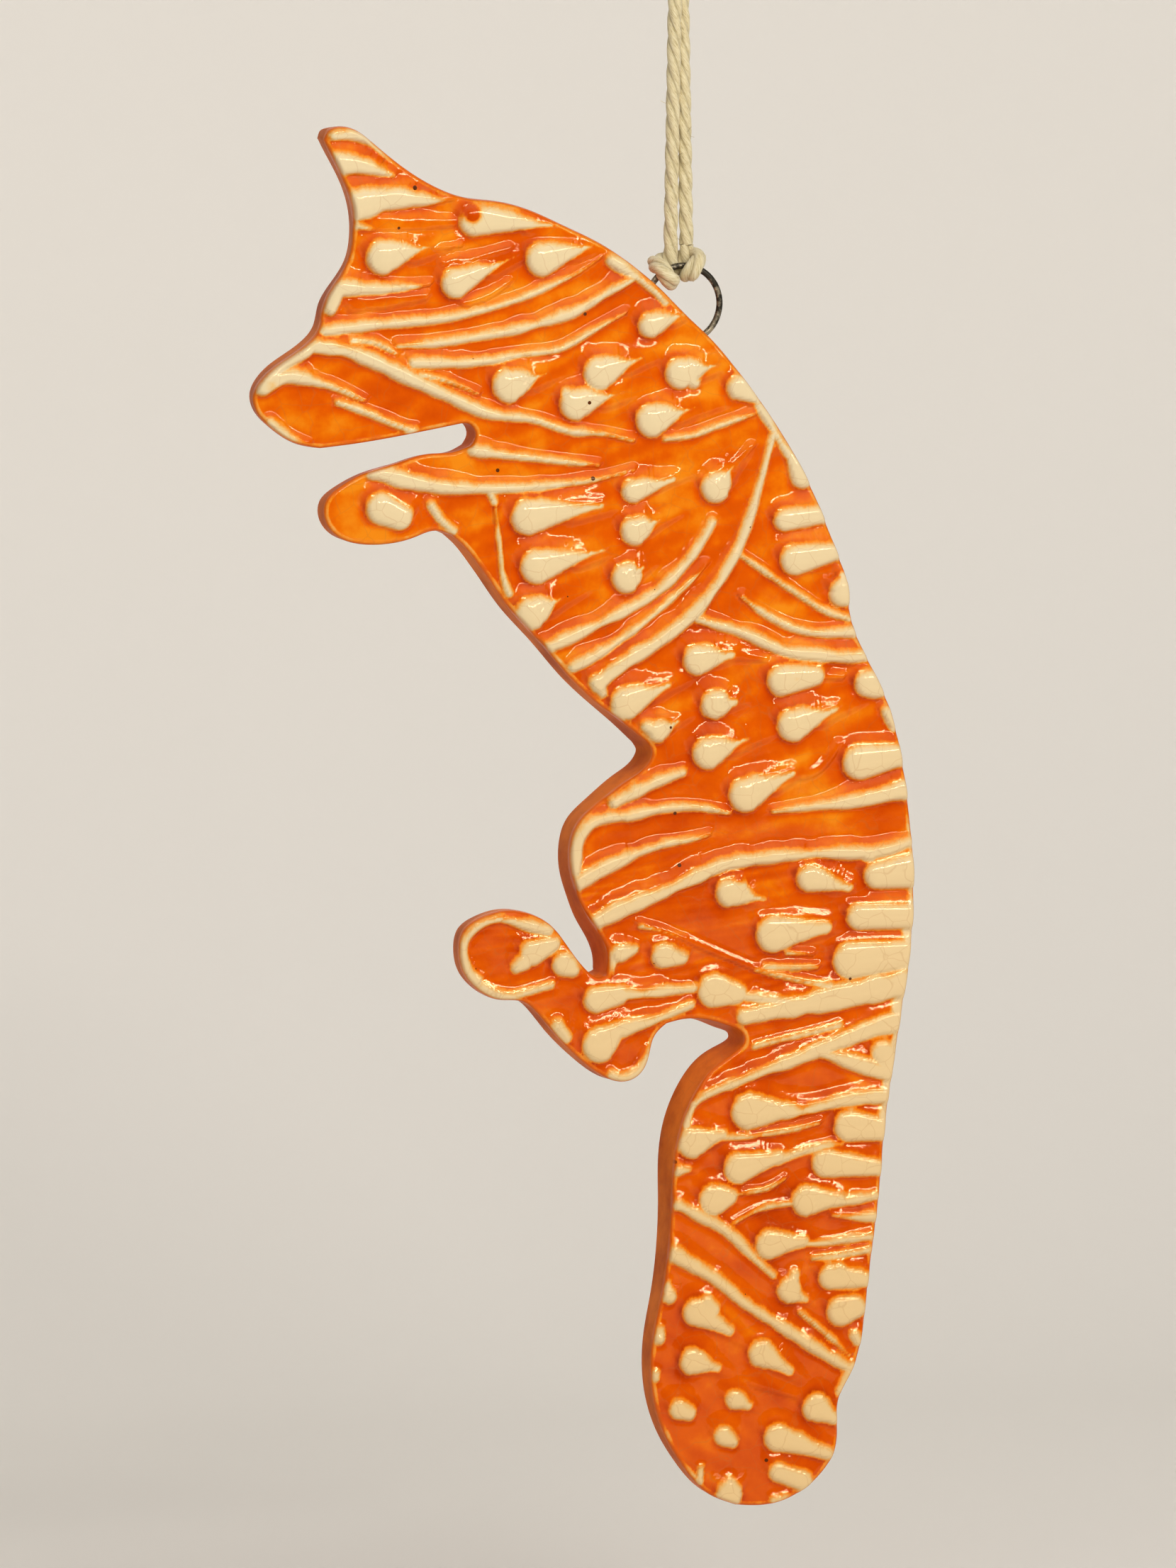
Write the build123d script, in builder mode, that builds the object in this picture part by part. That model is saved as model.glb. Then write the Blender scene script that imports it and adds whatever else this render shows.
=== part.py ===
from build123d import *
from math import acos, atan2, cos, degrees, hypot, pi, radians, sin, sqrt, tan
import os

# A flat fox cut from a slab of clay, with low raised drops and stripes on its glazed front.
# A wire ring set in its nape hangs in the bight of a doubled twine, which ends in a loop and a knot.
# The origin is where a hook bears in the loop. +Z is up, +X the fox's right as seen, -Y the glazed front.

# Slab
fox_height = 177.5
slab_thickness = 5.5
front_edge_radius = 0.5
back_edge_radius = 0.9
edge_angles = (pi / 2, pi / 4, 0)
relief_height = 0.6
relief_inset = 0.65

# Ring of wire in the nape
wire_diameter = 0.81
ring_radius = 4.85
ring_leg_length = 3.0
socket_clearance = 0.04
socket_end_room = 0.2

# Twine
twine_diameter = 1.66
hang_length = 70.0
strand_gap = 0.28
strand_twist = 60.0
loop_turn = 90.0
wrap_clearance = 0.08
joint_gap = 0.3

# Hitch on the ring
hitch_pivot_rise = 2.6
bight_rise = 0.75
bight_gap = 0.05
wrap_foot_left = -0.45
wrap_foot_right = 1.6
wrap_top_left = -2.3
wrap_top_right = 2.55

# Loop, knot and tails
hook_diameter = 5.0
hook_room = 0.1
twist_joint_drop = 20.0
loop_neck_drop = 11.0
loop_side_drop = 4.0
loop_shoulder_drop = 1.4
loop_mouth_rise = 1.7
knot_foot_rise = 4.2
knot_width = 6.4
knot_height = 6.6
knot_face_room = 0.2
tail_bend_rise = 3.0
tail_lengths = (9.0, 7.6)
tail_spread = 2.4

# How the photograph looks at the slab: turned to the slab's left and a little from above
view_turn = radians(17)
view_drop = radians(5)
fox_height_pixels = 1972.6
twine_line_pixels = 957.5
ring_across_pixels = 964.0
ring_down_pixels = 426.5
ring_start_angle = -52.0
ring_end_angle = 138.0

# Front face's edge, clockwise from the ear, in pixels across and down the photograph
ear_and_nape_pixels = [
    (460, 204), (465, 190), (481, 184), (500, 187), (522, 201), (550, 224), (584, 249), (620, 269),
    (655, 281), (700, 286), (745, 297), (800, 321), (848, 344),
]
back_pixels = [
    (892, 373), (936, 410), (970, 444), (1003, 475), (1042, 521), (1082, 575), (1118, 631), (1144, 680),
    (1167, 734), (1187, 786), (1199, 825), (1202, 862), (1212, 896), (1235, 944), (1256, 990), (1270, 1038),
]
rump_pixels = [
    (1280, 1092), (1288, 1155), (1293, 1225), (1293, 1290), (1287, 1358), (1277, 1428), (1266, 1500),
    (1256, 1570),
]
tail_outer_pixels = [
    (1250, 1630), (1243, 1710), (1234, 1780), (1226, 1850), (1218, 1908), (1204, 1948), (1190, 1976),
    (1185, 1998), (1186, 2030), (1179, 2064), (1156, 2096), (1122, 2121), (1082, 2133),
]
tail_inner_pixels = [
    (1040, 2132), (1000, 2115), (966, 2078), (940, 2034), (925, 1990), (919, 1940), (922, 1895),
    (934, 1835), (944, 1770), (949, 1700), (953, 1635), (962, 1592), (980, 1548), (1006, 1512),
    (1040, 1486), (1052, 1471), (1050, 1461), (1032, 1450), (1000, 1441), (966, 1440),
]
hind_leg_pixels = [
    (942, 1446), (926, 1462), (917, 1490), (907, 1514), (884, 1528), (853, 1521), (820, 1497), (786, 1464),
    (758, 1430), (740, 1415), (702, 1411), (678, 1400), (656, 1377), (647, 1344), (654, 1312), (682, 1292),
    (714, 1284), (748, 1289), (778, 1306), (806, 1342), (828, 1369), (847, 1380),
]
thigh_pixels = [
    (856, 1376), (858, 1352), (850, 1325), (832, 1298), (817, 1268), (805, 1232), (803, 1195), (813, 1163),
    (842, 1134), (885, 1101), (914, 1079), (921, 1060),
]
chest_pixels = [
    (912, 1045), (880, 1020), (843, 992), (802, 953), (760, 904), (720, 860), (696, 826), (672, 792),
    (654, 770),
]
front_paw_pixels = [
    (638, 756), (616, 750), (588, 759), (548, 769), (508, 769), (476, 757), (461, 735), (462, 710),
    (482, 689), (522, 667), (566, 653), (606, 642), (645, 638),
]
mouth_pixels = [(664, 630), (672, 615), (664, 600), (648, 600), (606, 609), (552, 620), (500, 629)]
muzzle_pixels = [
    (455, 635), (420, 629), (388, 610), (366, 586), (361, 560), (372, 538), (400, 514), (434, 489),
    (452, 466), (458, 436), (474, 404), (494, 370), (500, 335), (498, 300), (486, 260), (468, 222),
]
outline_pixels = [
    ear_and_nape_pixels, back_pixels, rump_pixels, tail_outer_pixels, tail_inner_pixels, hind_leg_pixels,
    thigh_pixels, chest_pixels, front_paw_pixels, mouth_pixels, muzzle_pixels,
]

# Raised drops: head across, down and radius, then tip across, down and radius
head_drop_pixels = [
    (542, 366, 25, 612, 354, 3), (670, 312, 24, 803, 325, 3), (643, 402, 21, 730, 366, 2),
    (765, 367, 24, 845, 348, 4), (719, 544, 25, 770, 532, 3), (812, 570, 23, 880, 557, 2),
]
paw_and_chest_drop_pixels = [
    (538, 719, 22, 564, 731, 18), (746, 729, 26, 846, 716, 8), (758, 799, 25, 852, 779, 5),
    (751, 864, 24, 792, 847, 4), (884, 814, 22, 906, 803, 6), (896, 748, 21, 930, 735, 5),
    (893, 692, 17, 948, 676, 8), (1010, 686, 22, 1036, 658, 4),
]
back_drop_pixels = [
    (961, 525, 23, 1012, 517, 4), (846, 526, 24, 905, 508, 4), (920, 592, 24, 980, 578, 3),
    (918, 458, 18, 966, 443, 5), (1043, 545, 18, 1080, 572, 6), (1132, 670, 17, 1110, 625, 7),
    (1108, 732, 16, 1165, 723, 13), (1123, 788, 22, 1185, 775, 12), (1190, 834, 20, 1192, 808, 8),
]
flank_drop_pixels = [
    (985, 930, 22, 1030, 924, 10), (1105, 959, 22, 1150, 953, 14), (1227, 963, 20, 1240, 968, 16),
    (1009, 993, 21, 1034, 991, 10), (884, 991, 24, 942, 968, 8), (1121, 1022, 24, 1180, 1002, 8),
    (928, 1031, 16, 955, 1019, 6), (1000, 1062, 23, 1055, 1045, 5), (1215, 1075, 25, 1275, 1064, 16),
    (1053, 1121, 25, 1118, 1093, 9), (1253, 1004, 8, 1264, 1026, 6),
]
rump_drop_pixels = [
    (1144, 1240, 19, 1198, 1254, 9), (1240, 1236, 19, 1285, 1230, 24), (1031, 1260, 21, 1078, 1272, 5),
    (1214, 1295, 18, 1285, 1294, 18), (1093, 1319, 26, 1165, 1312, 12), (1203, 1357, 26, 1285, 1348, 20),
    (936, 1349, 18, 962, 1353, 9), (1008, 1399, 24, 1040, 1404, 14), (874, 1346, 13, 894, 1340, 7),
    (795, 1361, 17, 808, 1370, 9), (841, 1412, 18, 872, 1405, 14), (846, 1475, 25, 880, 1452, 9),
    (750, 1345, 18, 780, 1332, 10), (786, 1447, 8, 800, 1466, 6),
]
tail_drop_pixels = [
    (1248, 1488, 17, 1256, 1500, 14), (1058, 1571, 26, 1100, 1571, 13), (1201, 1593, 22, 1245, 1598, 16),
    (978, 1615, 22, 1020, 1607, 7), (1044, 1652, 22, 1100, 1640, 9), (1167, 1646, 20, 1245, 1653, 11),
    (1008, 1697, 22, 1030, 1693, 11), (1140, 1699, 22, 1185, 1700, 10), (1088, 1761, 21, 1135, 1760, 8),
    (1117, 1830, 16, 1138, 1841, 4), (1175, 1808, 18, 1228, 1812, 11), (1190, 1857, 21, 1207, 1852, 17),
    (984, 1857, 20, 1028, 1886, 7), (978, 1927, 19, 1012, 1939, 5), (1076, 1917, 19, 1114, 1944, 6),
    (1038, 1982, 14, 1056, 1992, 6), (958, 1995, 14, 972, 2001, 10), (1154, 1995, 20, 1176, 2012, 9),
    (1022, 2034, 14, 1036, 2043, 7), (1100, 2037, 20, 1168, 2062, 9), (1099, 2086, 13, 1134, 2099, 14),
    (1030, 2112, 15, 1030, 2098, 7),
]
drop_pixels = [
    head_drop_pixels, paw_and_chest_drop_pixels, back_drop_pixels, flank_drop_pixels, rump_drop_pixels,
    tail_drop_pixels,
]

# Raised stripes: width at the start, width at the end, and the middle line across and down
head_stripe_pixels = [
    (36, 6, [(480, 236), (514, 239), (540, 247), (556, 252)]),
    (50, 5, [(498, 294), (530, 288), (556, 284), (590, 285), (638, 284)]),
    (24, 4, [(484, 410), (514, 411), (554, 410), (582, 407), (606, 404)]),
    (16, 6, [(460, 470), (501, 465), (567, 458), (640, 449), (698, 434), (738, 421), (777, 404),
             (812, 386), (846, 363)]),
    (11, 16, [(562, 490), (620, 486), (672, 477), (725, 467), (770, 454), (812, 439), (866, 406),
              (890, 393)]),
    (16, 5, [(584, 514), (640, 514), (690, 510), (730, 502), (762, 498), (815, 480), (840, 465),
             (882, 441)]),
    (24, 6, [(448, 492), (488, 497), (540, 518), (593, 543), (646, 567), (700, 587), (762, 595),
             (815, 610), (893, 621)]),
    (22, 6, [(374, 548), (405, 535), (440, 540), (475, 550), (515, 568)]),
    (8, 13, [(478, 571), (520, 585), (554, 599), (584, 610)]),
    (14, 6, [(384, 600), (400, 613), (420, 624), (436, 630)]),
]
chest_stripe_pixels = [
    (16, 5, [(668, 637), (736, 645), (788, 651), (843, 656)]),
    (24, 4, [(528, 668), (560, 676), (600, 685), (640, 689), (690, 690), (740, 688), (800, 682),
             (850, 674), (893, 662)]),
    (7, 12, [(699, 716), (702, 748), (706, 786), (709, 812), (718, 838)]),
    (12, 9, [(608, 714), (622, 734), (641, 750)]),
    (20, 12, [(772, 913), (808, 897), (862, 870), (917, 841), (950, 813), (980, 778), (1005, 736)]),
    (16, 5, [(808, 941), (848, 919), (889, 892), (931, 858), (972, 821), (995, 796)]),
    (24, 10, [(843, 966), (870, 940), (905, 919), (944, 893), (972, 870), (1000, 838), (1040, 775),
              (1067, 701), (1091, 612)]),
]
flank_stripe_pixels = [
    (12, 20, [(984, 872), (1013, 881), (1054, 894), (1110, 918), (1145, 922), (1190, 925), (1232, 922)]),
    (9, 14, [(1047, 840), (1068, 857), (1096, 874), (1124, 886), (1163, 892), (1206, 890)]),
    (6, 9, [(1046, 783), (1076, 803), (1108, 825), (1136, 843), (1164, 860), (1200, 871)]),
    (6, 8, [(981, 612), (1013, 600), (1050, 587)]),
]
thigh_stripe_pixels = [
    (18, 14, [(866, 1132), (903, 1114), (933, 1100), (962, 1090)]),
    (16, 6, [(884, 1152), (925, 1143), (966, 1139), (998, 1141), (1030, 1148)]),
    (6, 32, [(1092, 1145), (1143, 1138), (1200, 1131), (1246, 1121), (1286, 1112)]),
    (24, 5, [(814, 1247), (848, 1227), (878, 1213), (908, 1200), (938, 1191), (968, 1186), (1000, 1178)]),
    (24, 16, [(840, 1302), (878, 1282), (907, 1270), (966, 1243), (1025, 1219), (1055, 1214),
              (1114, 1207), (1173, 1203), (1217, 1204), (1250, 1200), (1287, 1188)]),
    (10, 8, [(904, 1307), (937, 1315), (966, 1327), (1000, 1342), (1068, 1370), (1110, 1381),
             (1172, 1393)]),
    (24, 44, [(1052, 1436), (1113, 1424), (1172, 1412), (1231, 1399), (1284, 1386)]),
    (20, 12, [(870, 1402), (920, 1400), (978, 1396)]),
    (22, 10, [(890, 1448), (930, 1436), (975, 1420)]),
    (12, 10, [(680, 1392), (700, 1402), (722, 1405), (750, 1398), (777, 1391)]),
    (14, 16, [(672, 1384), (655, 1362), (653, 1335), (668, 1310), (695, 1297), (722, 1299), (748, 1307)]),
]
tail_stripe_pixels = [
    (12, 26, [(968, 1590), (976, 1565), (992, 1549), (1020, 1536), (1080, 1512), (1120, 1499),
              (1156, 1484), (1200, 1467), (1240, 1452)]),
    (18, 26, [(1156, 1486), (1190, 1497), (1220, 1507), (1256, 1516)]),
    (20, 22, [(1110, 1570), (1140, 1567), (1180, 1558), (1220, 1552), (1256, 1550)]),
    (14, 7, [(1110, 1637), (1130, 1630), (1165, 1620), (1190, 1618)]),
    (5, 12, [(1036, 1730), (1060, 1716), (1080, 1708), (1116, 1702)]),
    (8, 16, [(1176, 1719), (1205, 1722), (1238, 1722)]),
    (20, 8, [(958, 1703), (985, 1718), (1026, 1742), (1060, 1775), (1093, 1806)]),
    (20, 14, [(950, 1773), (982, 1792), (1014, 1812), (1075, 1859), (1115, 1885), (1160, 1914),
              (1206, 1942)]),
    (5, 7, [(1130, 1858), (1150, 1874), (1176, 1896), (1202, 1920)]),
]
stripe_pixels = [
    head_stripe_pixels, chest_stripe_pixels, flank_stripe_pixels, thigh_stripe_pixels, tail_stripe_pixels,
]

# Sizes that follow from the ones above
wire_radius = wire_diameter / 2
twine_radius = twine_diameter / 2
pixel_size = fox_height / fox_height_pixels
wrap_reach = wire_radius + twine_radius + wrap_clearance
slab_middle = -wrap_reach
front_depth = slab_middle - slab_thickness / 2
ring_top = -hang_length
ring_rise = ring_top - ring_radius
ring_across = ((ring_across_pixels - twine_line_pixels) * pixel_size + slab_middle * sin(view_turn)) / cos(view_turn)
leg_angle = degrees(ring_leg_length / ring_radius)
strand_offset = twine_radius + strand_gap / 2
pivot_height = ring_top + hitch_pivot_rise
strand_foot = pivot_height + twine_radius + joint_gap
strand_head = -twist_joint_drop - joint_gap / 2
loop_foot = -twist_joint_drop + joint_gap / 2

front_plane = Plane.XZ.offset(-front_depth)
back_plane = front_plane.offset(-slab_thickness)
ring_plane = Plane.XZ.offset(-slab_middle)

os.makedirs("parts", exist_ok=True)


def face_place(point):
    """Place on the front face, across and up, of a point of the photograph."""
    depth = front_depth - slab_middle
    across = (point[0] - ring_across_pixels) * pixel_size
    rise = (ring_down_pixels - point[1]) * pixel_size
    x = (across + depth * sin(view_turn)) / cos(view_turn)
    z = (rise - (x * sin(view_turn) + depth * cos(view_turn)) * sin(view_drop)) / cos(view_drop)
    return (ring_across + x, ring_rise + z)


def inward(places, inset):
    """A closed ring of places, clockwise, moved this far towards its inside."""
    moved = []
    for index, (x, z) in enumerate(places):
        before = places[index - 1]
        after = places[(index + 1) % len(places)]
        run = hypot(after[0] - before[0], after[1] - before[1])
        moved.append((x + (after[1] - before[1]) / run * inset, z - (after[0] - before[0]) / run * inset))
    return moved


def fox_edge(inset=0):
    """Draws the fox's edge in the open line, one curve to each stretch, moved inwards by the inset."""
    places = inward([face_place(point) for stretch in outline_pixels for point in stretch], inset)
    start = 0
    for stretch in outline_pixels:
        end = start + len(stretch)
        Spline(*[places[index % len(places)] for index in range(start, end + 1)])
        start = end


def drop_edge(row):
    """Draws one drop: a round head and a round tip joined by the two lines that touch both."""
    head = face_place(row[0:2])
    tip = face_place(row[3:5])
    head_radius = row[2] * pixel_size
    tip_radius = row[5] * pixel_size
    run = hypot(tip[0] - head[0], tip[1] - head[1])
    heading = atan2(tip[1] - head[1], tip[0] - head[0])
    spread = acos((head_radius - tip_radius) / run)

    def around(centre, radius, angle):
        return (centre[0] + radius * cos(angle), centre[1] + radius * sin(angle))

    head_left = around(head, head_radius, heading + spread)
    head_right = around(head, head_radius, heading - spread)
    tip_left = around(tip, tip_radius, heading + spread)
    tip_right = around(tip, tip_radius, heading - spread)
    ThreePointArc(head_left, around(head, head_radius, heading + pi), head_right)
    Line(head_right, tip_right)
    ThreePointArc(tip_right, around(tip, tip_radius, heading), tip_left)
    Line(tip_left, head_left)


def stripe_edge(row):
    """Draws one stripe: two curves beside its middle line, that part or close evenly, and round ends."""
    start_half, end_half = row[0] * pixel_size / 2, row[1] * pixel_size / 2
    middle = [face_place(point) for point in row[2]]
    sides = ([], [])
    for index, (x, z) in enumerate(middle):
        before = middle[max(index - 1, 0)]
        after = middle[min(index + 1, len(middle) - 1)]
        run = hypot(after[0] - before[0], after[1] - before[1])
        half = start_half + (end_half - start_half) * index / (len(middle) - 1)
        across, up = (before[1] - after[1]) / run * half, (after[0] - before[0]) / run * half
        sides[0].append((x + across, z + up))
        sides[1].append((x - across, z - up))

    def beyond(end, inner, half):
        run = hypot(end[0] - inner[0], end[1] - inner[1])
        return (end[0] + (end[0] - inner[0]) / run * half, end[1] + (end[1] - inner[1]) / run * half)

    Spline(*sides[0])
    ThreePointArc(sides[0][-1], beyond(middle[-1], middle[-2], end_half), sides[1][-1])
    Spline(*reversed(sides[1]))
    ThreePointArc(sides[1][0], beyond(middle[0], middle[1], start_half), sides[0][0])


def ring_height(across, reach):
    """Height over the ring's middle line, at this reach outside it, this far across from the twine's line."""
    return ring_rise + sqrt((ring_radius + reach) ** 2 - (across - ring_across) ** 2)


def ring_arc(extra=0):
    """Draws the ring's arc with its two legs, each longer by the extra length."""
    extra_angle = degrees(extra / ring_radius)
    start = 90 - ring_end_angle - leg_angle - extra_angle
    sweep_angle = ring_end_angle - ring_start_angle + 2 * (leg_angle + extra_angle)
    CenterArc((ring_across, ring_rise), ring_radius, start, sweep_angle)


def corner_radii(route, largest):
    """A radius for each corner of a route: what its two runs allow, up to the largest."""
    points = [Vector(*point) for point in route]
    radii = []
    for before, corner, after in zip(points, points[1:], points[2:]):
        turn = radians((corner - before).get_angle(after - corner))
        shorter = min((corner - before).length, (after - corner).length)
        radii.append(min(largest, 0.45 * shorter / tan(turn / 2)))
    return radii


def start_plane(line):
    """Plane across the start of a line."""
    return Plane(origin=line.line @ 0, z_dir=line.line % 0)


def line_length(line):
    """Length of all the runs and arcs of a line."""
    return sum(edge.length for edge in line.edges())


def report(name, piece, length):
    """Prints a tube's volume beside its section times its length."""
    print(name, "length", round(length, 2), "volume", round(piece.volume, 3),
          "section times length", round(pi * twine_radius**2 * length, 3))


# Fox slab: a body of clay whose rounded edges are drawn in step by step towards its two faces
edge_steps = []
for angle in edge_angles:
    edge_steps.append((back_edge_radius * (1 - sin(angle)), back_edge_radius * (1 - cos(angle))))
for angle in reversed(edge_angles):
    depth = slab_thickness - front_edge_radius * (1 - sin(angle))
    edge_steps.append((depth, front_edge_radius * (1 - cos(angle))))

with BuildPart() as fox_slab:
    for depth, inset in edge_steps:
        with BuildSketch(back_plane.offset(depth)):
            with BuildLine():
                fox_edge(inset)
            make_face()
    loft(ruled=True)

    # Raised drops and stripes
    with BuildSketch(front_plane) as relief:
        for row in [row for group in drop_pixels for row in group]:
            with BuildLine() as drop_line:
                drop_edge(row)
            make_face()
        for row in [row for group in stripe_pixels for row in group]:
            with BuildLine() as stripe_line:
                stripe_edge(row)
            make_face()
        with BuildLine() as inset_line:
            fox_edge(relief_inset)
        make_face(mode=Mode.INTERSECT)
    extrude(amount=relief_height)

    # Sockets of the ring's legs
    with BuildLine(ring_plane) as socket_line:
        ring_arc(socket_end_room)
    with BuildSketch(start_plane(socket_line)):
        Circle(wire_radius + socket_clearance)
    sweep(path=socket_line.line, mode=Mode.SUBTRACT)

fox_slab.part.label = "fox_slab"
export_step(fox_slab.part, "parts/fox_slab.step")

# Hanging ring: an open ring of wire whose two legs end in the clay
with BuildPart() as hanging_ring:
    with BuildLine(ring_plane) as ring_line:
        ring_arc()
    with BuildSketch(start_plane(ring_line)):
        Circle(wire_radius)
    sweep(path=ring_line.line)

hanging_ring.part.label = "hanging_ring"
export_step(hanging_ring.part, "parts/hanging_ring.step")

# Hitch: each strand passes down behind the wire, comes up in front of it and goes back over it,
# and the bight joins the two behind the strands
bight_depth = twine_diameter + bight_gap
wrap_front = slab_middle - wrap_reach
bight_height = ring_top + bight_rise
wrap_side = strand_offset + twine_diameter + bight_gap
hitch_route = [
    (-strand_offset, 0, pivot_height),
    (-strand_offset, 0, ring_height(-strand_offset, -wrap_reach)),
    (wrap_foot_left, wrap_front, ring_height(wrap_foot_left, -wrap_reach)),
    (wrap_top_left, wrap_front, ring_height(wrap_top_left, wrap_reach)),
    (-wrap_side, bight_depth, bight_height),
    (wrap_side, bight_depth, bight_height),
    (wrap_top_right, wrap_front, ring_height(wrap_top_right, wrap_reach)),
    (wrap_foot_right, wrap_front, ring_height(wrap_foot_right, -wrap_reach)),
    (strand_offset, 0, ring_height(strand_offset, -wrap_reach)),
    (strand_offset, 0, pivot_height),
]
hitch_radii = corner_radii(hitch_route, wrap_reach)
print("hitch radii", [round(radius, 2) for radius in hitch_radii])

with BuildPart() as twine_hitch:
    with BuildLine() as hitch_line:
        FilletPolyline(*hitch_route, radius=hitch_radii)
    with BuildSketch(start_plane(hitch_line)):
        Circle(twine_radius)
    sweep(path=hitch_line.line)
    report("twine_hitch", twine_hitch.part, line_length(hitch_line))
    with Locations(hitch_route[0], hitch_route[-1]):
        Sphere(twine_radius)

twine_hitch.part.label = "twine_hitch"
export_step(twine_hitch.part, "parts/twine_hitch.step")


def around_line(side, reach, turn, height):
    """Place at this reach from the twine's line, on one side of it, turned about it from +X."""
    return (side * reach * cos(radians(turn)), side * reach * sin(radians(turn)), height)


# Strands: two taut stretches, slightly crossed, from the hitch to the loop
for strand_name, side in (("twine_left", -1), ("twine_right", 1)):
    with BuildPart() as twine_strand:
        with BuildLine() as strand_line:
            Line(
                around_line(side, strand_offset, 0, strand_foot),
                around_line(side, strand_offset, strand_twist, strand_head),
            )
        with BuildSketch(start_plane(strand_line)):
            Circle(twine_radius)
        sweep(path=strand_line.line)
    report(strand_name, twine_strand.part, line_length(strand_line))
    twine_strand.part.label = strand_name
    export_step(twine_strand.part, f"parts/{strand_name}.step")

# Loop: the two strands part round the hook and close again under the knot
hook_reach = hook_diameter / 2 + twine_radius + hook_room
with BuildPart() as twine_loop:
    for side in (-1, 1):
        loop_route = [
            around_line(side, strand_offset, strand_twist, loop_foot),
            around_line(side, strand_offset, (strand_twist + loop_turn) / 2, -loop_neck_drop),
            around_line(side, hook_reach, loop_turn, -loop_side_drop),
            around_line(side, hook_reach, loop_turn, -loop_shoulder_drop),
            around_line(side, strand_offset, loop_turn, loop_mouth_rise),
            around_line(side, strand_offset, loop_turn, knot_foot_rise),
        ]
        loop_radii = corner_radii(loop_route, hang_length)
        print("loop radii", [round(radius, 2) for radius in loop_radii])
        with BuildLine() as loop_line:
            FilletPolyline(*loop_route, radius=loop_radii)
        with BuildSketch(start_plane(loop_line)):
            Circle(twine_radius)
        sweep(path=loop_line.line)
    report("twine_loop", twine_loop.part, 2 * line_length(loop_line))

twine_loop.part.label = "twine_loop"
export_step(twine_loop.part, "parts/twine_loop.step")

# Knot: an overhand knot in both strands, as the plain closed shape that it fills
knot_top = knot_foot_rise + knot_height
knot_face_radius = strand_offset + twine_radius + knot_face_room
with BuildPart() as twine_knot:
    with BuildSketch(Plane.XZ):
        with BuildLine():
            Line((0, knot_foot_rise), (knot_face_radius, knot_foot_rise))
            ThreePointArc(
                (knot_face_radius, knot_foot_rise),
                (knot_width / 2, (knot_foot_rise + knot_top) / 2),
                (knot_face_radius, knot_top),
            )
            Line((knot_face_radius, knot_top), (0, knot_top))
            Line((0, knot_top), (0, knot_foot_rise))
        make_face()
    revolve(axis=Axis.Z)

twine_knot.part.label = "twine_knot"
export_step(twine_knot.part, "parts/twine_knot.step")

# Tails: the twine's two ends above the knot
with BuildPart() as twine_tails:
    tails_length = 0
    for side, tail_length in zip((-1, 1), tail_lengths):
        tail_route = [
            around_line(side, strand_offset, loop_turn, knot_top),
            around_line(side, strand_offset, loop_turn, knot_top + tail_bend_rise),
            around_line(side, strand_offset + tail_spread, loop_turn, knot_top + tail_length),
        ]
        tail_radii = corner_radii(tail_route, hang_length)
        print("tail radii", [round(radius, 2) for radius in tail_radii])
        with BuildLine() as tail_line:
            FilletPolyline(*tail_route, radius=tail_radii)
        with BuildSketch(start_plane(tail_line)):
            Circle(twine_radius)
        sweep(path=tail_line.line)
        tails_length += line_length(tail_line)
    report("twine_tails", twine_tails.part, tails_length)

twine_tails.part.label = "twine_tails"
export_step(twine_tails.part, "parts/twine_tails.step")
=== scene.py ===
"""A flat clay fox on a doubled twine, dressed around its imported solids.

The slab is one mesh: its front rises into the drops and stripes of the relief, its edge is rounded
by hand, and its glaze breaks from orange to cream where it runs thin over the raised places. The
twine is laid up from plies along the line of each of its runs. All sizes in the classes are in
millimetres unless they say otherwise. The outline and the relief are pixels of the photograph that
were read off it.
"""

import logging
import math
from collections.abc import Callable
from dataclasses import dataclass, field
from enum import Enum
from functools import partial

import bpy
import numpy as np
from mathutils import Matrix, Vector, noise
from mathutils.geometry import delaunay_2d_cdt

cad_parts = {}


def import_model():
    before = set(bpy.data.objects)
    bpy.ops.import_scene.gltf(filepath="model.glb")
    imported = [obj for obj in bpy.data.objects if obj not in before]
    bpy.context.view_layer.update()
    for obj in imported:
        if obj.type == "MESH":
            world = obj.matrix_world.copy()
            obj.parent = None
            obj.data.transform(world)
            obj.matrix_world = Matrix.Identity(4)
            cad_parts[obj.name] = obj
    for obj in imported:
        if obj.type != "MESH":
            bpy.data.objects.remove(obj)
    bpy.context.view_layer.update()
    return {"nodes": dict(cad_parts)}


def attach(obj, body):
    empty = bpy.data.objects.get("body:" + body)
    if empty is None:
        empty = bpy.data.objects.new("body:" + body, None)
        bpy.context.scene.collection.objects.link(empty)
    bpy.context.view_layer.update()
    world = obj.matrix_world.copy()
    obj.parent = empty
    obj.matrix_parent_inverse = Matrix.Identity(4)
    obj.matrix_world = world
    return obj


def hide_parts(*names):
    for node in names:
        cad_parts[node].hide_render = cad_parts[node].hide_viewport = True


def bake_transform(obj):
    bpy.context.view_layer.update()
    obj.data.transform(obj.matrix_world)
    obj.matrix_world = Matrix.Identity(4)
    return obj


MILLIMETRE = 0.001
LOG = logging.getLogger("clay_fox")
Pixels = tuple[float, float]
Place = tuple[float, float, float]
DropRow = tuple[float, float, float, float, float, float]
StripeRow = tuple[float, float, list[Pixels]]
Array = np.ndarray
Socket = bpy.types.NodeSocket
Sockets = bpy.types.bpy_prop_collection
Adder = Callable[..., Sockets]


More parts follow.
